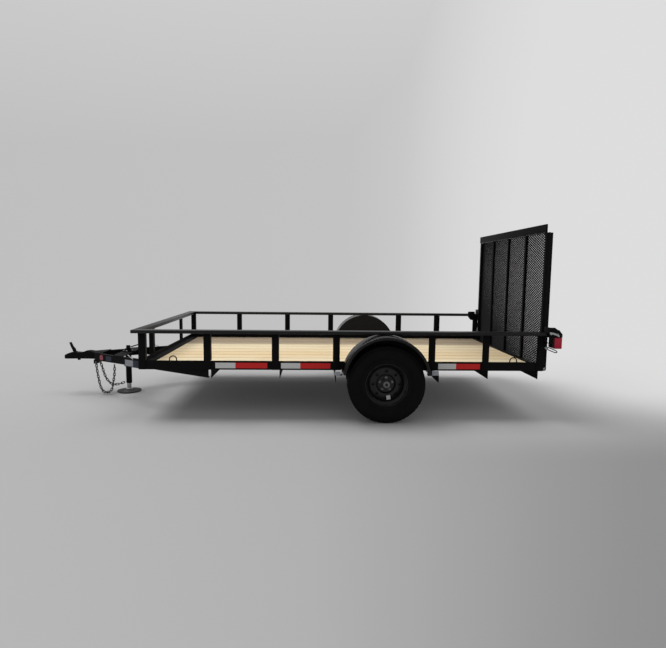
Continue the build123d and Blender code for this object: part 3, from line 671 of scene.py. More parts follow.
class TRAILER_OT_frame(bpy.types.Operator):
    """Round the edges of the frame's steel and give every piece its finish"""

    bl_idname = "trailer.frame"
    bl_label = "Frame"

    def execute(self, context):
        finishes()
        edge = context.scene.trailer_sizes.steel_edge
        frame_steel = (
            "side_rail_left", "side_rail_right", "rail_legs", "front_rail", "rear_rail",
            "cross_members", "posts_left", "posts_right", "posts_front", "rear_block",
            "tongue_left", "tongue_right", "coupler", "coupler_latch", "jack_bracket",
            "fender_brackets", "gate_hinge_lugs", "lamp_brackets", "spring_hangers",
        )
        top_rails = ("top_rail_left", "top_rail_right", "top_rail_front")
        for finish, nodes in (("coat", frame_steel), ("rail", top_rails)):
            for node in nodes:
                bm = merged(node)
                soften(bm, 0.0035 if node in ("coupler", "rear_block") else edge)
                finish_piece(f"{node}_steel", bm, finish, node)
                cad_material(finish, node)
        bm = merged("gate_frame")
        soften(bm, 0.001)
        finish_piece("gate_frame_steel", bm, "coat", "gate_frame", body="tailgate")
        for finish, nodes in (
            ("coat", ("jack_tube", "jack_crank", "tie_rings", "gate_frame", "gate_latches")),
            ("steel_dark", ("axle", "leaf_springs", "spring_shackles", "spring_pins", "spring_clamps")),
            ("fender", ("fender_left", "fender_right")),
            ("wheel", ("rim_left", "rim_right", "hub_left", "hub_right")),
            ("rubber", ("tyre_left", "tyre_right")),
            ("chain", ("chain_left", "chain_right")),
            ("jack", ("jack_leg",)),
            ("wood", ("deck_boards",)),
            ("gate", ("gate_mesh",)),
            ("lens", ("tail_lamps",)),
        ):
            cad_material(finish, *nodes)
        return {"FINISHED"}


def add_screw(bm, place):
    """A countersunk screw head with a dished recess."""
    made = bmesh.ops.create_circle(
        bm, cap_ends=True, segments=12, radius=0.0048, matrix=Matrix.Translation(place)
    )["verts"]
    face = next(iter(made[0].link_faces))
    for growth, drop in ((0.0012, 0.0), (0.0006, 0.0016)):
        bmesh.ops.inset_region(bm, faces=[face], thickness=growth, depth=0.0)
        bmesh.ops.translate(bm, verts=face.verts[:], vec=(0, 0, -drop))
    # the rim is sunk a little so that it meets the wood
    bmesh.ops.translate(bm, verts=made, vec=(0, 0, -0.0007))


class TRAILER_OT_deck(bpy.types.Operator):
    """Plane the boards' edges and drive two screws through each at every member"""

    bl_idname = "trailer.deck"
    bl_label = "Deck"

    def execute(self, context):
        bm = merged("deck_boards")
        soften(bm, 0.003)
        finish_piece("deck_planks", bm, "wood", "deck_boards")
        boards = sorted((min(c.y for c in solid), max(c.y for c in solid)) for solid in solids("deck_boards"))
        # a row of screws runs down the middle of each member that boards are screwed to
        rows = sorted({round(min(c.x for c in solid) + 0.028, 4) for solid in solids("cross_members")})
        rows = [x for x in rows if x >= low("rear_rail").x + 0.1]
        rail_edge = 0.955
        screws = bmesh.new()
        for x in rows:
            for start, end in boards:
                for share in (0.2, 0.8):
                    y = start + (end - start) * share
                    if abs(y) <= rail_edge:
                        add_screw(screws, (x, y, DECK_TOP + 0.0004))
        finish_piece("deck_screws", screws, "zinc")
        return {"FINISHED"}


class TRAILER_OT_gate_mesh(bpy.types.Operator):
    """Fill the tailgate with expanded metal"""

    bl_idname = "trailer.gate_mesh"
    bl_label = "Gate mesh"

    def execute(self, context):
        sizes = context.scene.trailer_sizes
        lows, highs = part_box("gate_mesh")
        wide, tall = highs.y - lows.y, highs.z - lows.z
        # squares a diagonal of 1 across, stood on their corners and stretched to diamonds
        bm = bmesh.new()
        reach = int(max(wide / sizes.mesh_wide, tall / sizes.mesh_high)) + 2
        bmesh.ops.create_grid(bm, x_segments=2 * reach, y_segments=2 * reach, size=reach / 2 * sqrt(2))
        verts = bm.verts[:]
        bmesh.ops.rotate(bm, verts=verts, cent=(0, 0, 0), matrix=Matrix.Rotation(pi / 4, 3, "Z"))
        bmesh.ops.scale(bm, verts=verts, vec=(sizes.mesh_wide, sizes.mesh_high, 1))
        for spot, normal in (
            ((wide / 2, 0, 0), (1, 0, 0)),
            ((-wide / 2, 0, 0), (-1, 0, 0)),
            ((0, tall / 2, 0), (0, 1, 0)),
            ((0, -tall / 2, 0), (0, -1, 0)),
        ):
            cut_off(bm, spot, normal)
        bmesh.ops.wireframe(
            bm,
            faces=bm.faces[:],
            thickness=sizes.mesh_strand,
            offset=0.0,
            use_replace=True,
            use_boundary=True,
            use_even_offset=True,
            use_crease=False,
            crease_weight=0.0,
            use_relative_offset=False,
            material_offset=0,
        )
        upright = Matrix(((0, 0, 1), (1, 0, 0), (0, 1, 0))).to_4x4()
        put(bm, bm.verts[:], upright)
        bmesh.ops.scale(bm, vec=(sizes.mesh_deep / sizes.mesh_strand, 1, 1), verts=bm.verts[:])
        bmesh.ops.translate(bm, vec=(lows + highs) / 2, verts=bm.verts[:])
        finish_piece("gate_expanded_metal", bm, "gate", "gate_mesh", body="tailgate", smooth=False)
        return {"FINISHED"}


def tyre_section(half, base):
    """Pairs of radius and distance out, from the near bead over the tread to the far one."""
    wall = [
        (0.1925, 0.046), (0.1925, 0.0600), (0.2092, 0.0650), (0.2095, 0.0740), (0.2000, 0.0762),
        (0.1905, 0.0768), (0.1890, 0.0782), (0.1896, 0.0800), (0.1935, 0.0815), (0.2030, 0.0828),
        (0.2150, 0.0845), (0.2230, 0.0868), (0.2260, 0.0868), (0.2290, 0.0900),
        (0.2450, 0.0970), (0.2470, 0.0985), (0.2510, 0.0985), (0.2530, 0.0980),
        (0.2680, half), (0.2850, half), (0.2990, half - 0.0020),
        (0.3100, half - 0.0055), (0.3120, half - 0.0045), (0.3180, half - 0.0085),
        (0.3260, half - 0.0160), (base - 0.0012, half - 0.0225),
    ]
    one_side = wall + [(base, out) for out in (0.072, 0.049, 0.046, 0.018, 0.015)]
    return one_side + [(radius, -out) for radius, out in reversed(one_side)]


def sort_tread(bm, place, half, base, steps):
    """The tread's faces that stand up as blocks, and those that stay low between them."""
    # distances out of the shoulder, inner and middle bands; only the middle one has no gaps
    bands = ((0.049, half - 0.022), (0.018, 0.046), (0.0, 0.0151))
    middle_band, steps_a_block = 2, 6
    blocks, gaps = [], []
    for face in bm.faces:
        middle = face.calc_center_median() - place
        if hypot(middle.x, middle.z) < base - 0.006:
            continue
        number = int((atan2(middle.z, middle.x) / (2 * pi) * steps) % steps)
        for index, (start, end) in enumerate(bands):
            if start < abs(middle.y) < end:
                shift = index if middle.y > 0 else index + 1
                inside = (number + shift * steps_a_block // 2) % steps_a_block != 0
                (blocks if inside or index == middle_band else gaps).append(face)
    return blocks, gaps


def raise_faces(bm, faces, place, height):
    """Raise faces of a tyre away from its axle."""
    made = bmesh.ops.extrude_face_region(bm, geom=faces)
    for vert in made["geom"]:
        if isinstance(vert, bmesh.types.BMVert):
            spoke = vert.co - place
            radius = hypot(spoke.x, spoke.z)
            grow = (radius + height) / radius
            vert.co = place + Vector((spoke.x * grow, spoke.y, spoke.z * grow))
    bmesh.ops.delete(bm, geom=faces, context="FACES")


class TRAILER_OT_tyres(bpy.types.Operator):
    """Cut the tyres' sidewalls and tread"""

    bl_idname = "trailer.tyres"
    bl_label = "Tyres"

    def execute(self, context):
        sizes = context.scene.trailer_sizes
        lows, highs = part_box("tyre_left")
        half = (highs.y - lows.y) / 2
        base = TYRE_R - sizes.tread_depth
        steps = sizes.tread_pitches * 4
        for name, side in SIDES:
            place = Vector((AXLE_X, side * WHEEL_Y, AXLE_Z))
            bm = bmesh.new()
            add_ring(bm, tyre_section(half, base), place, steps)
            bmesh.ops.recalc_face_normals(bm, faces=bm.faces[:])
            blocks, gaps = sort_tread(bm, place, half, base, steps)
            raise_faces(bm, blocks, place, sizes.tread_depth * 0.98)
            raise_faces(bm, gaps, place, sizes.tread_depth * 0.45)
            finish_piece(f"tyre_{name}_tread", bm, "rubber", f"tyre_{name}", body=f"wheel_{name}", angle=28)
        return {"FINISHED"}


def on_wheel(side, angle, reach, out):
    """The direction of an arm from the axle, and the place this far along it and this far out."""
    arm = Vector((cos(angle), 0, sin(angle)))
    return arm, Vector((AXLE_X, side * (WHEEL_Y + out), AXLE_Z)) + arm * reach


def wheel_ring(side, level, steps, *section):
    """A ring about the axle, from pairs of radius and distance out from a level."""
    bm = bmesh.new()
    add_ring(bm, [(radius, side * (level + out)) for radius, out in section], (AXLE_X, 0, AXLE_Z), steps)
    return bm


def cap_plug(side, face):
    """A plug in the middle of the grease cap."""
    bm = bmesh.new()
    add_cylinder(bm, 0.0118, 0.004, (AXLE_X, side * (face - 0.004), AXLE_Z), "Y", 24, 0.001)
    return bm


def lug_nuts(side):
    """Five nuts with domed ends on round seats, a corner of each pointing outwards."""
    bm = bmesh.new()
    circle = 0.05715
    for index in range(5):
        angle = radians(90 + 72 * index)
        place = on_wheel(side, angle, circle, 0.0048)[1]
        seat = ((0.0150, 0.0), (0.0150, 0.0020), (0.0132, 0.0036))
        add_ring(bm, [(radius, place.y + side * out) for radius, out in seat], (place.x, 0, place.z), 24)
        hexagon = add_cylinder(bm, 0.0134, 0.0160, (0, 0, 0), "Y", 6)
        dome = bmesh.ops.create_uvsphere(bm, u_segments=16, v_segments=8, radius=0.0106)["verts"]
        bmesh.ops.scale(bm, vec=(1, 1, 0.62), verts=dome)
        for verts, out, facing in (
            (hexagon, 0.0085, Matrix.Rotation(-angle, 4, "Y")),
            (dome, 0.0155, Matrix.Rotation(pi / 2, 4, "X")),
        ):
            put(bm, verts, Matrix.Translation(place + Vector((0, side * out, 0))) @ facing)
    return bm


def valve(side):
    """A valve through the rim's shoulder, thinner at its cap."""
    bm = bmesh.new()
    arm, base = on_wheel(side, radians(-158 if side > 0 else -22), 0.180, 0.034)
    tip = base + Vector((0, side * 0.034, 0)) - arm * 0.012
    neck = base.lerp(tip, 0.7)
    add_wire(bm, [base, neck], 0.0050, straight=True)
    add_wire(bm, [neck, tip], 0.0036, straight=True)
    return bm


def wheel_sticker(side):
    """A blank sticker low on the disc, tilted as the disc is."""
    bm = bmesh.new()
    arm, centre = on_wheel(side, radians(-101 if side > 0 else -79), 0.126, 0.0200)
    tilt = radians(16.5)
    out = Vector((0, side * cos(tilt), 0)) + arm * sin(tilt)
    up = Vector((0, -side * sin(tilt), 0)) + arm * cos(tilt)
    turn = Matrix((up.cross(out), out, up)).transposed().to_4x4()
    made = add_block(bm, (-0.0180, -0.0006, -0.0215), (0.0180, 0.0006, 0.0215), 0.0002)
    put(bm, made, Matrix.Translation(centre) @ turn)
    return bm


class TRAILER_OT_wheel_trim(bpy.types.Operator):
    """Add the grease caps, rings, lug nuts, valves and blank stickers"""

    bl_idname = "trailer.wheel_trim"
    bl_label = "Wheel trim"

    def execute(self, context):
        face = high("hub_left").y
        for name, side in SIDES:
            grease_cap = wheel_ring(
                side, face, 40,
                (0.0325, -0.030), (0.0335, -0.026), (0.0325, -0.006), (0.0300, -0.001),
                (0.0260, 0.0015), (0.0150, 0.0015), (0.0125, -0.0005), (0.0115, -0.006),
            )
            # raised ring of the disc, between the nuts and the vents
            bead = wheel_ring(
                side, WHEEL_Y + 0.0215, 64,
                (0.0820, -0.012), (0.0835, -0.004), (0.0860, 0.0), (0.0885, -0.0005),
                (0.0905, -0.004), (0.0930, -0.012),
            )
            # rolled edge of the rim, inside the tyre's bead guard
            rolled = wheel_ring(
                side, WHEEL_Y + 0.0772, 96,
                (0.1835, -0.0070), (0.1842, -0.0020), (0.1860, 0.0), (0.1882, 0.0),
                (0.1894, -0.0020), (0.1898, -0.0070),
            )
            for piece, bm, finish in (
                ("grease_cap", grease_cap, "cap"),
                ("cap_plug", cap_plug(side, face), "rubber"),
                ("rim_beads", bead, "wheel"),
                ("rim_edge", rolled, "edge"),
                ("lug_nuts", lug_nuts(side), "nut"),
                ("valve", valve(side), "rubber"),
                ("blank_sticker", wheel_sticker(side), "sticker"),
            ):
                finish_piece(f"{piece}_{name}", bm, finish, body=f"wheel_{name}")
        return {"FINISHED"}


def fender_sheet(side, inner, outer, start):
    """The rolled sheet with its edge bead and lip, closed at its two ends."""
    # section from the rail outwards: drop from the full radius, distance out
    section = [
        (0.0005, inner), (0.0005, outer - 0.030), (0.0015, outer - 0.027), (0.0015, outer - 0.023),
        (0, outer - 0.020), (0, outer - 0.008), (0.0008, outer - 0.004), (0.0026, outer - 0.0015),
        (0.006, outer), (0.022, outer), (0.0245, outer - 0.0008), (0.026, outer - 0.0028),
        (0.0245, outer - 0.0048), (0.022, outer - 0.0052), (0.008, outer - 0.003),
        (0.0055, outer - 0.004), (0.0035, outer - 0.008), (0.0035, inner),
    ]
    bm = bmesh.new()
    centre = Vector((AXLE_X, 0.0, FENDER_Z))
    verts = []
    for drop, out in section:
        radius = FENDER_R - drop
        spot = Vector((radius * cos(start), side * out, radius * sin(start)))
        verts.append(bm.verts.new(centre + spot))
    edges = [bm.edges.new(pair) for pair in zip(verts, verts[1:] + verts[:1])]
    spin(bm, verts + edges, centre, (0, -1, 0), pi - 2 * start, 72)
    rims = [edge for edge in bm.edges if len(edge.link_faces) == 1]
    bmesh.ops.holes_fill(bm, edges=rims, sides=0)
    return bm


def fender_back(side, inner, bottom):
    """The plate that closes a fender on the rail's side."""
    bm = bmesh.new()
    flat = Matrix.Translation((AXLE_X, side * inner, FENDER_Z)) @ Matrix.Rotation(pi / 2, 4, "X")
    bmesh.ops.create_circle(bm, cap_ends=True, segments=160, radius=FENDER_R - 0.002, matrix=flat)
    cut_off(bm, (0, 0, bottom), (0, 0, -1))
    pushed = bmesh.ops.extrude_face_region(bm, geom=bm.faces[:])
    moved = [vert for vert in pushed["geom"] if isinstance(vert, bmesh.types.BMVert)]
    bmesh.ops.translate(bm, verts=moved, vec=(0, side * 0.003, 0))
    return bm


class TRAILER_OT_fenders(bpy.types.Operator):
    """Roll the fenders with their edge beads, lips and backing plates"""

    bl_idname = "trailer.fenders"
    bl_label = "Fenders"

    def execute(self, context):
        lows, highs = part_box("fender_left")
        start = asin((lows.z - FENDER_Z) / FENDER_R)
        for name, side in SIDES:
            finish_piece(f"fender_{name}_back", fender_back(side, lows.y, lows.z), "backing")
            sheet = fender_sheet(side, lows.y, highs.y, start)
            finish_piece(f"fender_{name}_sheet", sheet, "fender", f"fender_{name}")
        return {"FINISHED"}


class TRAILER_OT_lamps(bpy.types.Operator):
    """Build the tail lamps and their guards' pale bands"""

    bl_idname = "trailer.lamps"
    bl_label = "Tail lamps"

    def execute(self, context):
        lows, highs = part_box("tail_lamps")
        inner, outer = 0.975, highs.y
        lenses, bodies, bands = bmesh.new(), bmesh.new(), bmesh.new()
        for _, side in SIDES:
            near, far = side * inner, side * outer
            corner = (lows.x + 0.070, far, highs.z - 0.001)
            add_block(lenses, (lows.x, near + side * 0.002, lows.z), corner, 0.006, 3)
            # ridges across the lens
            for share in (0.25, 0.5, 0.75):
                level = lows.z + (highs.z - lows.z) * share
                corner = (lows.x + 0.004, far - side * 0.010, level + 0.0012)
                add_block(lenses, (lows.x - 0.0006, near + side * 0.010, level - 0.0012), corner, 0.0005)
            corner = (highs.x, far - side * 0.003, highs.z - 0.002)
            add_block(bodies, (lows.x + 0.068, near + side * 0.004, lows.z + 0.004), corner, 0.005, 2)
            # neck of the loom: ahead of the lamp, distance out, above the lamp's foot
            neck = (
                (-0.004, 1.025, 0.045), (0.018, 1.022, 0.040), (0.031, 1.008, 0.056),
                (0.039, 0.998, 0.085), (0.040, 0.996, 0.106),
            )
            add_wire(bodies, [(highs.x + x, side * y, lows.z + z) for x, y, z in neck], 0.0035)
            # pale band under the guard, sloping to the rear
            steps = ((0.118, 0.049), (0.086, 0.045), (0.055, 0.035), (0.028, 0.020))
            path = [(lows.x + run, highs.z + rise) for run, rise in steps]
            for (x1, z1), (x2, z2) in zip(path, path[1:]):
                block = add_block(bands, (x2, far, 0), (x1, far + side * 0.0015, 0.017), 0.0004)
                for vert in block:
                    share = (vert.co.x - x2) / (x1 - x2)
                    vert.co.z += z2 + (z1 - z2) * min(1.0, max(0.0, share)) - 0.017
        finish_piece("tail_lamp_lenses", lenses, "lens", "tail_lamps")
        finish_piece("tail_lamp_bodies", bodies, "plastic")
        finish_piece("lamp_guard_bands", bands, "zinc")
        return {"FINISHED"}


class TRAILER_OT_latches(bpy.types.Operator):
    """Fit the gate latches' plates, springs, bolts and slanting pull loops"""

    bl_idname = "trailer.latches"
    bl_label = "Gate latches"

    def execute(self, context):
        plates, zincs = bmesh.new(), bmesh.new()
        x, z = behind(3688), 0.655
        face = high("posts_left").y
        for _, side in SIDES:
            corner = (behind(3628), side * (face + 0.0048), z + 0.032)
            add_block(plates, (behind(3702), side * face, z - 0.032), corner, 0.001)
            # the bolt's tube, its shaft, the coil round it and the washer
            add_cylinder(plates, 0.0135, 0.040, (x, side * 0.976, z), "Y", 20, 0.001)
            add_cylinder(zincs, 0.0078, 0.070, (x, side * 0.987, z), "Y", 20, 0.001)
            turns, lead, radius = 6, 0.0038, 0.0105
            coil = []
            for index in range(turns * 8 + 1):
                angle, out = index * pi / 4, 0.996 + lead * index / 8
                coil.append((x + radius * cos(angle), side * out, z + radius * sin(angle)))
            add_wire(zincs, coil, 0.0015, sides=6, resolution=3)
            add_cylinder(zincs, 0.0125, 0.003, (x, side * 1.0185, z), "Y", 20, 0.0006)
            # pull loop, slanting down to the rear
            start = Vector((x - 0.002, side * 1.0165, z + 0.002))
            end = Vector((x - 0.092, side * 1.0165, z - 0.034))
            run = (end - start).normalized()
            wide = Vector((-run.z, 0, run.x)) * 0.0105
            tip = run * 0.006
            loop = [start - tip, start + wide, end + wide, end + tip, end - wide, start - wide]
            add_wire(plates, loop, 0.0042, closed=True)
        finish_piece("gate_latch_plates", plates, "coat", "gate_latches")
        finish_piece("gate_latch_springs", zincs, "zinc")
        return {"FINISHED"}


def long_axis(corners):
    """The direction that the eight farthest corners of a symmetrical solid lie in."""
    far = sorted(corners, key=lambda corner: corner.length)[-8:]
    lead = far[-1]
    return sum((corner if corner.dot(lead) > 0 else -corner for corner in far), Vector()).normalized()


class TRAILER_OT_chains(bpy.types.Operator):
    """Weld round links in place of the plain ones"""

    bl_idname = "trailer.chains"
    bl_label = "Safety chains"

    def execute(self, context):
        corners_of_one = 32
        bend, width, reach = 0.0100, 0.0094, 0.0125
        for name in ("chain_left", "chain_right"):
            curve = round_curve(0.0045, 2)
            bm = merged(name)
            # links that lie welded together keep their own shape, rounded
            single = [corners for corners in islands(bm) if len(corners) == corners_of_one]
            gone = {tuple(corner) for corners in single for corner in corners}
            bmesh.ops.delete(bm, geom=[v for v in bm.verts if tuple(v.co) in gone], context="VERTS")
            soften(bm, 0.0020)
            for corners in single:
                centre = sum(corners, Vector()) / len(corners)
                spread = [corner - centre for corner in corners]
                along = long_axis(spread)
                across = long_axis([corner - along * corner.dot(along) for corner in spread])
                spline = curve.splines.new("BEZIER")
                spline.bezier_points.add(3)
                spline.use_cyclic_u = True
                spline.resolution_u = 7
                ends = ((bend, -width), (bend, width), (-bend, width), (-bend, -width))
                for point, (a, b) in zip(spline.bezier_points, ends):
                    spot = centre + along * a + across * b
                    out = along * (1 if a > 0 else -1)
                    point.co = spot
                    point.handle_left_type = point.handle_right_type = "FREE"
                    turning, straight = spot + out * reach, spot - out * (bend * 0.66)
                    first = (a > 0) == (b > 0)
                    point.handle_left = turning if first else straight
                    point.handle_right = straight if first else turning
            add_curve(bm, curve)
            finish_piece(f"{name}_links", bm, "chain", name)
        return {"FINISHED"}


class TRAILER_OT_plates(bpy.types.Operator):
    """Fix the blank plates, the round reflector and the markers"""

    bl_idname = "trailer.plates"
    bl_label = "Blank plates"

    def execute(self, context):
        # the tongue's arms meet this far ahead of the front line, and open at this slope
        apex, slope = 0.952, 0.983 / 1.550
        for name, side in SIDES:
            way = Vector((-1, side * slope, 0)).normalized()
            out = Vector((slope, side * 1, 0)).normalized()
            facing = Matrix((way, out, Vector((0, 0, 1)))).transposed().to_4x4()
            pale, dark, ring = bmesh.new(), bmesh.new(), bmesh.new()

            def spot(distance, height, lift=0.0):
                run = distance * MM + apex
                return Vector((behind(distance), side * run * slope, height)) + out * lift

            def plate(bm, place, long, tall, thick, corner):
                """A flat plate on the tongue's outer face."""
                made = add_block(bm, (-long / 2, 0, -tall / 2), (long / 2, thick, tall / 2), corner)
                put(bm, made, Matrix.Translation(place) @ facing)

            plate(dark, spot(-289, 0.383), 0.236, 0.075, 0.0010, 0.0003)
            plate(pale, spot(-305, 0.385, 0.001), 0.170, 0.062, 0.0008, 0.0002)
            plate(dark, spot(-250, 0.385, 0.0018), 0.058, 0.062, 0.0004, 0.0001)
            plate(dark, spot(-602, 0.398), 0.088, 0.050, 0.0010, 0.0003)
            finish_piece(f"tongue_plate_backs_{name}", dark, "label_dark")
            finish_piece(f"tongue_plates_{name}", pale, "blank")
            # round reflector near the coupler
            turn = Vector((0, 1, 0)).rotation_difference(out).to_matrix().to_4x4()
            section = [
                (0.030, 0), (0.030, 0.004), (0.027, 0.006), (0.024, 0.005), (0.012, 0.0065), (0.0004, 0.007),
            ]
            add_ring(ring, section, (0, 0, 0), 40)
            put(ring, ring.verts[:], Matrix.Translation(spot(-700, 0.398)) @ turn)
            finish_piece(f"round_reflector_{name}", ring, "reflector")
            tie = bmesh.new()
            line = ((-337, 0.398, 0.468), (-305, 0.419, 0.4515), (-273, 0.439, 0.431))
            add_wire(tie, [(behind(distance), side * y, z) for distance, y, z in line], 0.0034)
            finish_piece(f"cable_tie_{name}", tie, "sticker")
            # clear markers beside the outriggers' ends
            clear = bmesh.new()
            rim = side * high("cross_members").y
            for start, end, bottom, top in ((1737, 1790, 0.422, 0.457), (2605, 2665, 0.424, 0.466)):
                corner = (behind(start), rim + side * 0.004, top)
                add_block(clear, (behind(end), rim - side * 0.010, bottom), corner, 0.003, 2)
            finish_piece(f"clear_markers_{name}", clear, "blank")
        return {"FINISHED"}


class TRAILER_OT_tape(bpy.types.Operator):
    """Stick red and white tape along the side rails"""

    bl_idname = "trailer.tape"
    bl_label = "Reflective tape"

    def execute(self, context):
        # start, change of colour and end of each strip, behind the front rail
        strips = ((660, 841, 1130), (1255, 1430, 1705), (2699, 2864, 3087))
        bottom, top, thick = 0.450, 0.501, 0.0006
        for name, side in SIDES:
            for shade, first in (("white", 0), ("red", 1)):
                bm = bmesh.new()
                for strip in strips:
                    start, end = behind(strip[first]), behind(strip[first + 1])
                    corner = (end, side * (RAIL_OUTER + thick), top)
                    add_block(bm, (start, side * RAIL_OUTER, bottom), corner)
                finish_piece(f"tape_{shade}_{name}", bm, shade, smooth=False)
        return {"FINISHED"}


class TRAILER_OT_fasteners(bpy.types.Operator):
    """Add bolts, washers and the weld beads that show"""

    bl_idname = "trailer.fasteners"
    bl_label = "Bolts and welds"

    def execute(self, context):
        bolts, welds = bmesh.new(), bmesh.new()
        washer = 0.0016

        def bolt(place, axis, size, height):
            spot = Vector(place)
            step = Vector([1 if letter in axis else 0 for letter in "XYZ"]) * (-1 if "-" in axis else 1)
            add_cylinder(bolts, size * 1.15, washer, spot + step * (washer / 2), axis[-1], 20, 0.0004)
            add_cylinder(bolts, size, height, spot + step * (washer + height / 2), axis[-1], 6, 0.0008)

        def weld(start, end, radius):
            start, end = Vector(start), Vector(end)
            count = max(3, int((end - start).length / 0.012))
            points = [start.lerp(end, index / count) for index in range(count + 1)]
            for index, point in enumerate(points[1:-1]):
                point.x += 0.0005 * sin(index * 2.4)
                point.z += 0.0004 * cos(index * 3.1)
            add_wire(welds, points, radius, sides=6, resolution=2)

        post_top, post_wide = low("top_rail_left").z, 63.5
        post_fronts = (FRAME_FRONT, 556, 1171, 1727, 2604, 3103, 3611.5)
        outrigger_fronts = (1747, 2663)
        lamp_guard, hinge_pin = high("lamp_brackets").y + 0.0005, high("gate_hinge_lugs").y + 0.0005
        for _, side in SIDES:
            outward = "Y" if side > 0 else "-Y"
            face = side * (RAIL_OUTER + 0.0002)
            for place in post_fronts:
                front, rear = behind(place), behind(place + post_wide)
                for x in (front, rear):
                    weld((x, face, RAIL_LOW + 0.004), (x, face, RAIL_TOP - 0.003), 0.0024)
                weld((front, side * 0.9855, post_top - 0.001), (rear, side * 0.9855, post_top - 0.001), 0.003)
            # outriggers under the rail
            for place in outrigger_fronts:
                x = behind(place) + 0.001
                weld((x, side * 0.986, 0.4345), (x, side * 1.05, 0.4355), 0.0022)
            # the fender's end straps
            for end, axis in ((1, "X"), (-1, "-X")):
                x = AXLE_X + end * (high("fender_left").x - AXLE_X)
                for dy in (0.073, 0.090):
                    bolt((x + end * 0.0062, side * (RAIL_OUTER + dy), 0.452), axis, 0.0065, 0.005)
            # lamp guards, and the gate's hinges
            for dx in (0.045, 0.105):
                bolt((low("tail_lamps").x + dx, side * lamp_guard, 0.791), outward, 0.006, 0.004)
            bolt((behind(3697), side * hinge_pin, 0.455), outward, 0.0095, 0.006)
        # jack's flange and the coupler's seat
        for x, y in ((0.045, 0.0), (-0.045, 0.0), (0.0, 0.045), (0.0, -0.045)):
            bolt((behind(-476) + x, y, 0.452), "Z", 0.0075, 0.005)
        bolt((behind(-1008), 0, 0.4315), "Z", 0.011, 0.009)
        finish_piece("bolts", bolts, "zinc")
        finish_piece("weld_beads", welds, "coat")
        return {"FINISHED"}


def grey(level):
    """Linear value of a grey given on the screen's 0 to 255 scale."""
    share = level / 255
    value = share / 12.92 if share <= 0.04045 else ((share + 0.055) / 1.055) ** 2.4
    return (value, value, value)


# the studio's far side brightens to one side, and the floor in front darkens that way
FAR_STOPS = (
    (0.0, grey(189)), (0.53, grey(194)), (0.58, grey(200)), (0.61, grey(209)),
    (0.64, grey(216)), (0.68, grey(221)), (1.0, grey(222)),
)
NEAR_STOPS = (
    (0.23, grey(186)), (0.39, grey(182)), (0.50, grey(179)), (0.607, grey(169)), (0.645, grey(164)),
    (0.68, grey(160)), (0.71, grey(155)), (0.74, grey(151)), (0.77, grey(146)), (0.82, grey(141)),
)


def pale_floor():
    """A floor that runs into the backdrop a long way off on every side."""
    m = Material("pale_floor", Metallic=0.0, Specular_IOR_Level=0.0, Roughness=1.0)
    x, y, _ = m.axes()
    # the tones lie fanwise round a point in front of the trailer
    from_x, from_y = x + 0.24, y - 5.6
    run = (from_x * from_x + from_y * from_y) ** 0.5
    turned = from_x / run * -0.5 + 0.5
    far = m.ramp(turned, *FAR_STOPS)
    near = m.mix(y.smooth(4.0, 5.0), m.ramp(turned, *NEAR_STOPS), grey(178))
    distant = run.smooth(7.0, 14.0)
    m.set(Base_Color=m.mix(distant, m.mix(y.smooth(-0.2, 2.2), far, near), far))
    # away from the trailer the floor glows in its own tone, as the backdrop does; painted light: the same
    # glow fills the cast shadow under the trailer's far half, and a faint glow everywhere lightens the shadow
    backdrop_glow_and_shadow_fill = (x.abs() - 3.2).smooth(0.0, 2.5).math("MAXIMUM", (y * -1.0).smooth(0.1, 3.4))
    shadow_fill_glow = 0.035
    share = (backdrop_glow_and_shadow_fill * (1.0 - y.smooth(0.0, 3.0))).math("MAXIMUM", shadow_fill_glow).math("MAXIMUM", distant)
    glow = m.node("ShaderNodeEmission", None, {"Color": far})
    m.show(m.node("ShaderNodeMixShader", None, {0: share, 1: Value(m, m.shader.outputs[0]), 2: glow}))
    return m.made


def studio_world():
    """Soft even light, behind a backdrop that only the camera sees."""
    world = bpy.data.worlds.new("studio")
    world.use_nodes = True
    w = Tree(world.node_tree)
    x, _, z = w.axes(w.node("ShaderNodeTexCoord", out=0))
    high_up = w.ramp(z, (0.0, grey(180)), (0.45, grey(205)))
    seen = w.mix(1.0, w.ramp(x * -0.5 + 0.5, *FAR_STOPS), high_up, "LIGHTEN")
    soft = w.node("ShaderNodeBackground", None, {"Color": (1, 1, 1, 1), "Strength": 0.42})
    seen = w.node("ShaderNodeBackground", None, {"Color": seen, "Strength": 1.0})
    w.show(w.node("ShaderNodeMixShader", None, {0: w.node("ShaderNodeLightPath"), 1: soft, 2: seen}))
    return world


def lay_floor(scene):
    """One wide sheet just under the tyres."""
    mesh = bpy.data.meshes.new("floor")
    bm = bmesh.new()
    bmesh.ops.create_grid(bm, x_segments=1, y_segments=1, size=80.0)
    bmesh.ops.translate(bm, vec=(0, 0, -0.0005), verts=bm.verts[:])
    bm.to_mesh(mesh)
    bm.free()
    floor = bpy.data.objects.new("floor", mesh)
    scene.collection.objects.link(floor)
    mesh.materials.append(pale_floor())


def hang_lamps(scene):
    """Two broad lamps overhead, leaning a little to either end."""
    for name, lean, energy in (("lamp_front", -0.42, 1.40), ("lamp_rear", 0.42, 0.50)):
        light = bpy.data.lights.new(name, "SUN")
        light.energy = energy
        light.angle = radians(32)
        lamp = bpy.data.objects.new(name, light)
        scene.collection.objects.link(lamp)
        lamp.rotation_euler = Vector((lean, 0.27, -1.0)).to_track_quat("-Z", "Y").to_euler()


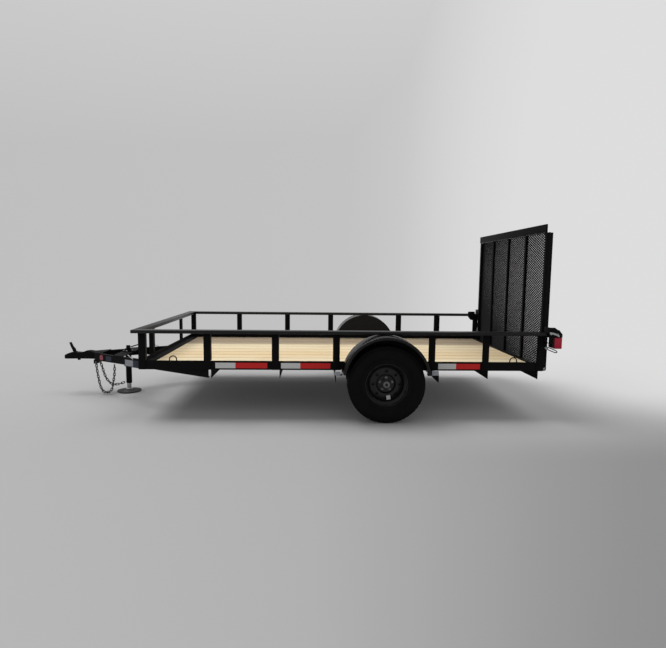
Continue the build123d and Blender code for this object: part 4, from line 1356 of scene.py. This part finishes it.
def set_camera(scene):
    """An eye on the left side, looking down a little and slightly turned and rolled."""
    camera = bpy.data.cameras.new("camera")
    camera.sensor_fit = "HORIZONTAL"
    camera.sensor_width = 36.0
    camera.lens = 27.64
    eye = bpy.data.objects.new("camera", camera)
    scene.collection.objects.link(eye)
    yaw, pitch, roll = 0.0332, 0.10394, 0.0109
    forward = Vector((-sin(yaw) * cos(pitch), -cos(yaw) * cos(pitch), -sin(pitch)))
    flat_right = Vector((-cos(yaw), sin(yaw), 0))
    flat_up = Vector((-sin(yaw) * sin(pitch), -cos(yaw) * sin(pitch), cos(pitch)))
    right = cos(roll) * flat_right + sin(roll) * flat_up
    up = cos(roll) * flat_up - sin(roll) * flat_right
    turn = Matrix((right, up, -forward)).transposed()
    spot = Vector((behind(1571.7), 5.5937, 1.3427))
    eye.matrix_world = Matrix.Translation(spot) @ turn.to_4x4()
    scene.camera = eye


class TRAILER_OT_stage(bpy.types.Operator):
    """Floor, backdrop, lamps and camera"""

    bl_idname = "trailer.stage"
    bl_label = "Stage"

    def execute(self, context):
        scene = context.scene
        lay_floor(scene)
        scene.world = studio_world()
        hang_lamps(scene)
        set_camera(scene)
        scene.view_settings.view_transform = "Standard"
        return {"FINISHED"}


class TRAILER_PT_panel(bpy.types.Panel):
    """The trailer's pieces"""

    bl_idname = "TRAILER_PT_panel"
    bl_label = "Trailer"
    bl_space_type = "VIEW_3D"
    bl_region_type = "UI"
    bl_category = "Trailer"

    def draw(self, context):
        for group in (context.scene.trailer_sizes, context.scene.trailer_colours):
            for name in group.bl_rna.properties.keys():
                if name not in ("rna_type", "name"):
                    self.layout.prop(group, name)
        for operator in OPERATORS:
            self.layout.operator(operator.bl_idname)


OPERATORS = (
    TRAILER_OT_frame,
    TRAILER_OT_deck,
    TRAILER_OT_gate_mesh,
    TRAILER_OT_tyres,
    TRAILER_OT_wheel_trim,
    TRAILER_OT_fenders,
    TRAILER_OT_lamps,
    TRAILER_OT_latches,
    TRAILER_OT_chains,
    TRAILER_OT_plates,
    TRAILER_OT_tape,
    TRAILER_OT_fasteners,
    TRAILER_OT_stage,
)
CLASSES = (TrailerSizes, TrailerColours, *OPERATORS, TRAILER_PT_panel)


def register():
    for each in CLASSES:
        bpy.utils.register_class(each)
    bpy.types.Scene.trailer_sizes = bpy.props.PointerProperty(type=TrailerSizes)
    bpy.types.Scene.trailer_colours = bpy.props.PointerProperty(type=TrailerColours)


def unregister():
    del bpy.types.Scene.trailer_sizes
    del bpy.types.Scene.trailer_colours
    for each in reversed(CLASSES):
        bpy.utils.unregister_class(each)


def main():
    register()
    for operator in OPERATORS:
        group, name = operator.bl_idname.split(".")
        getattr(getattr(bpy.ops, group), name)()


if __name__ == "__main__":
    main()
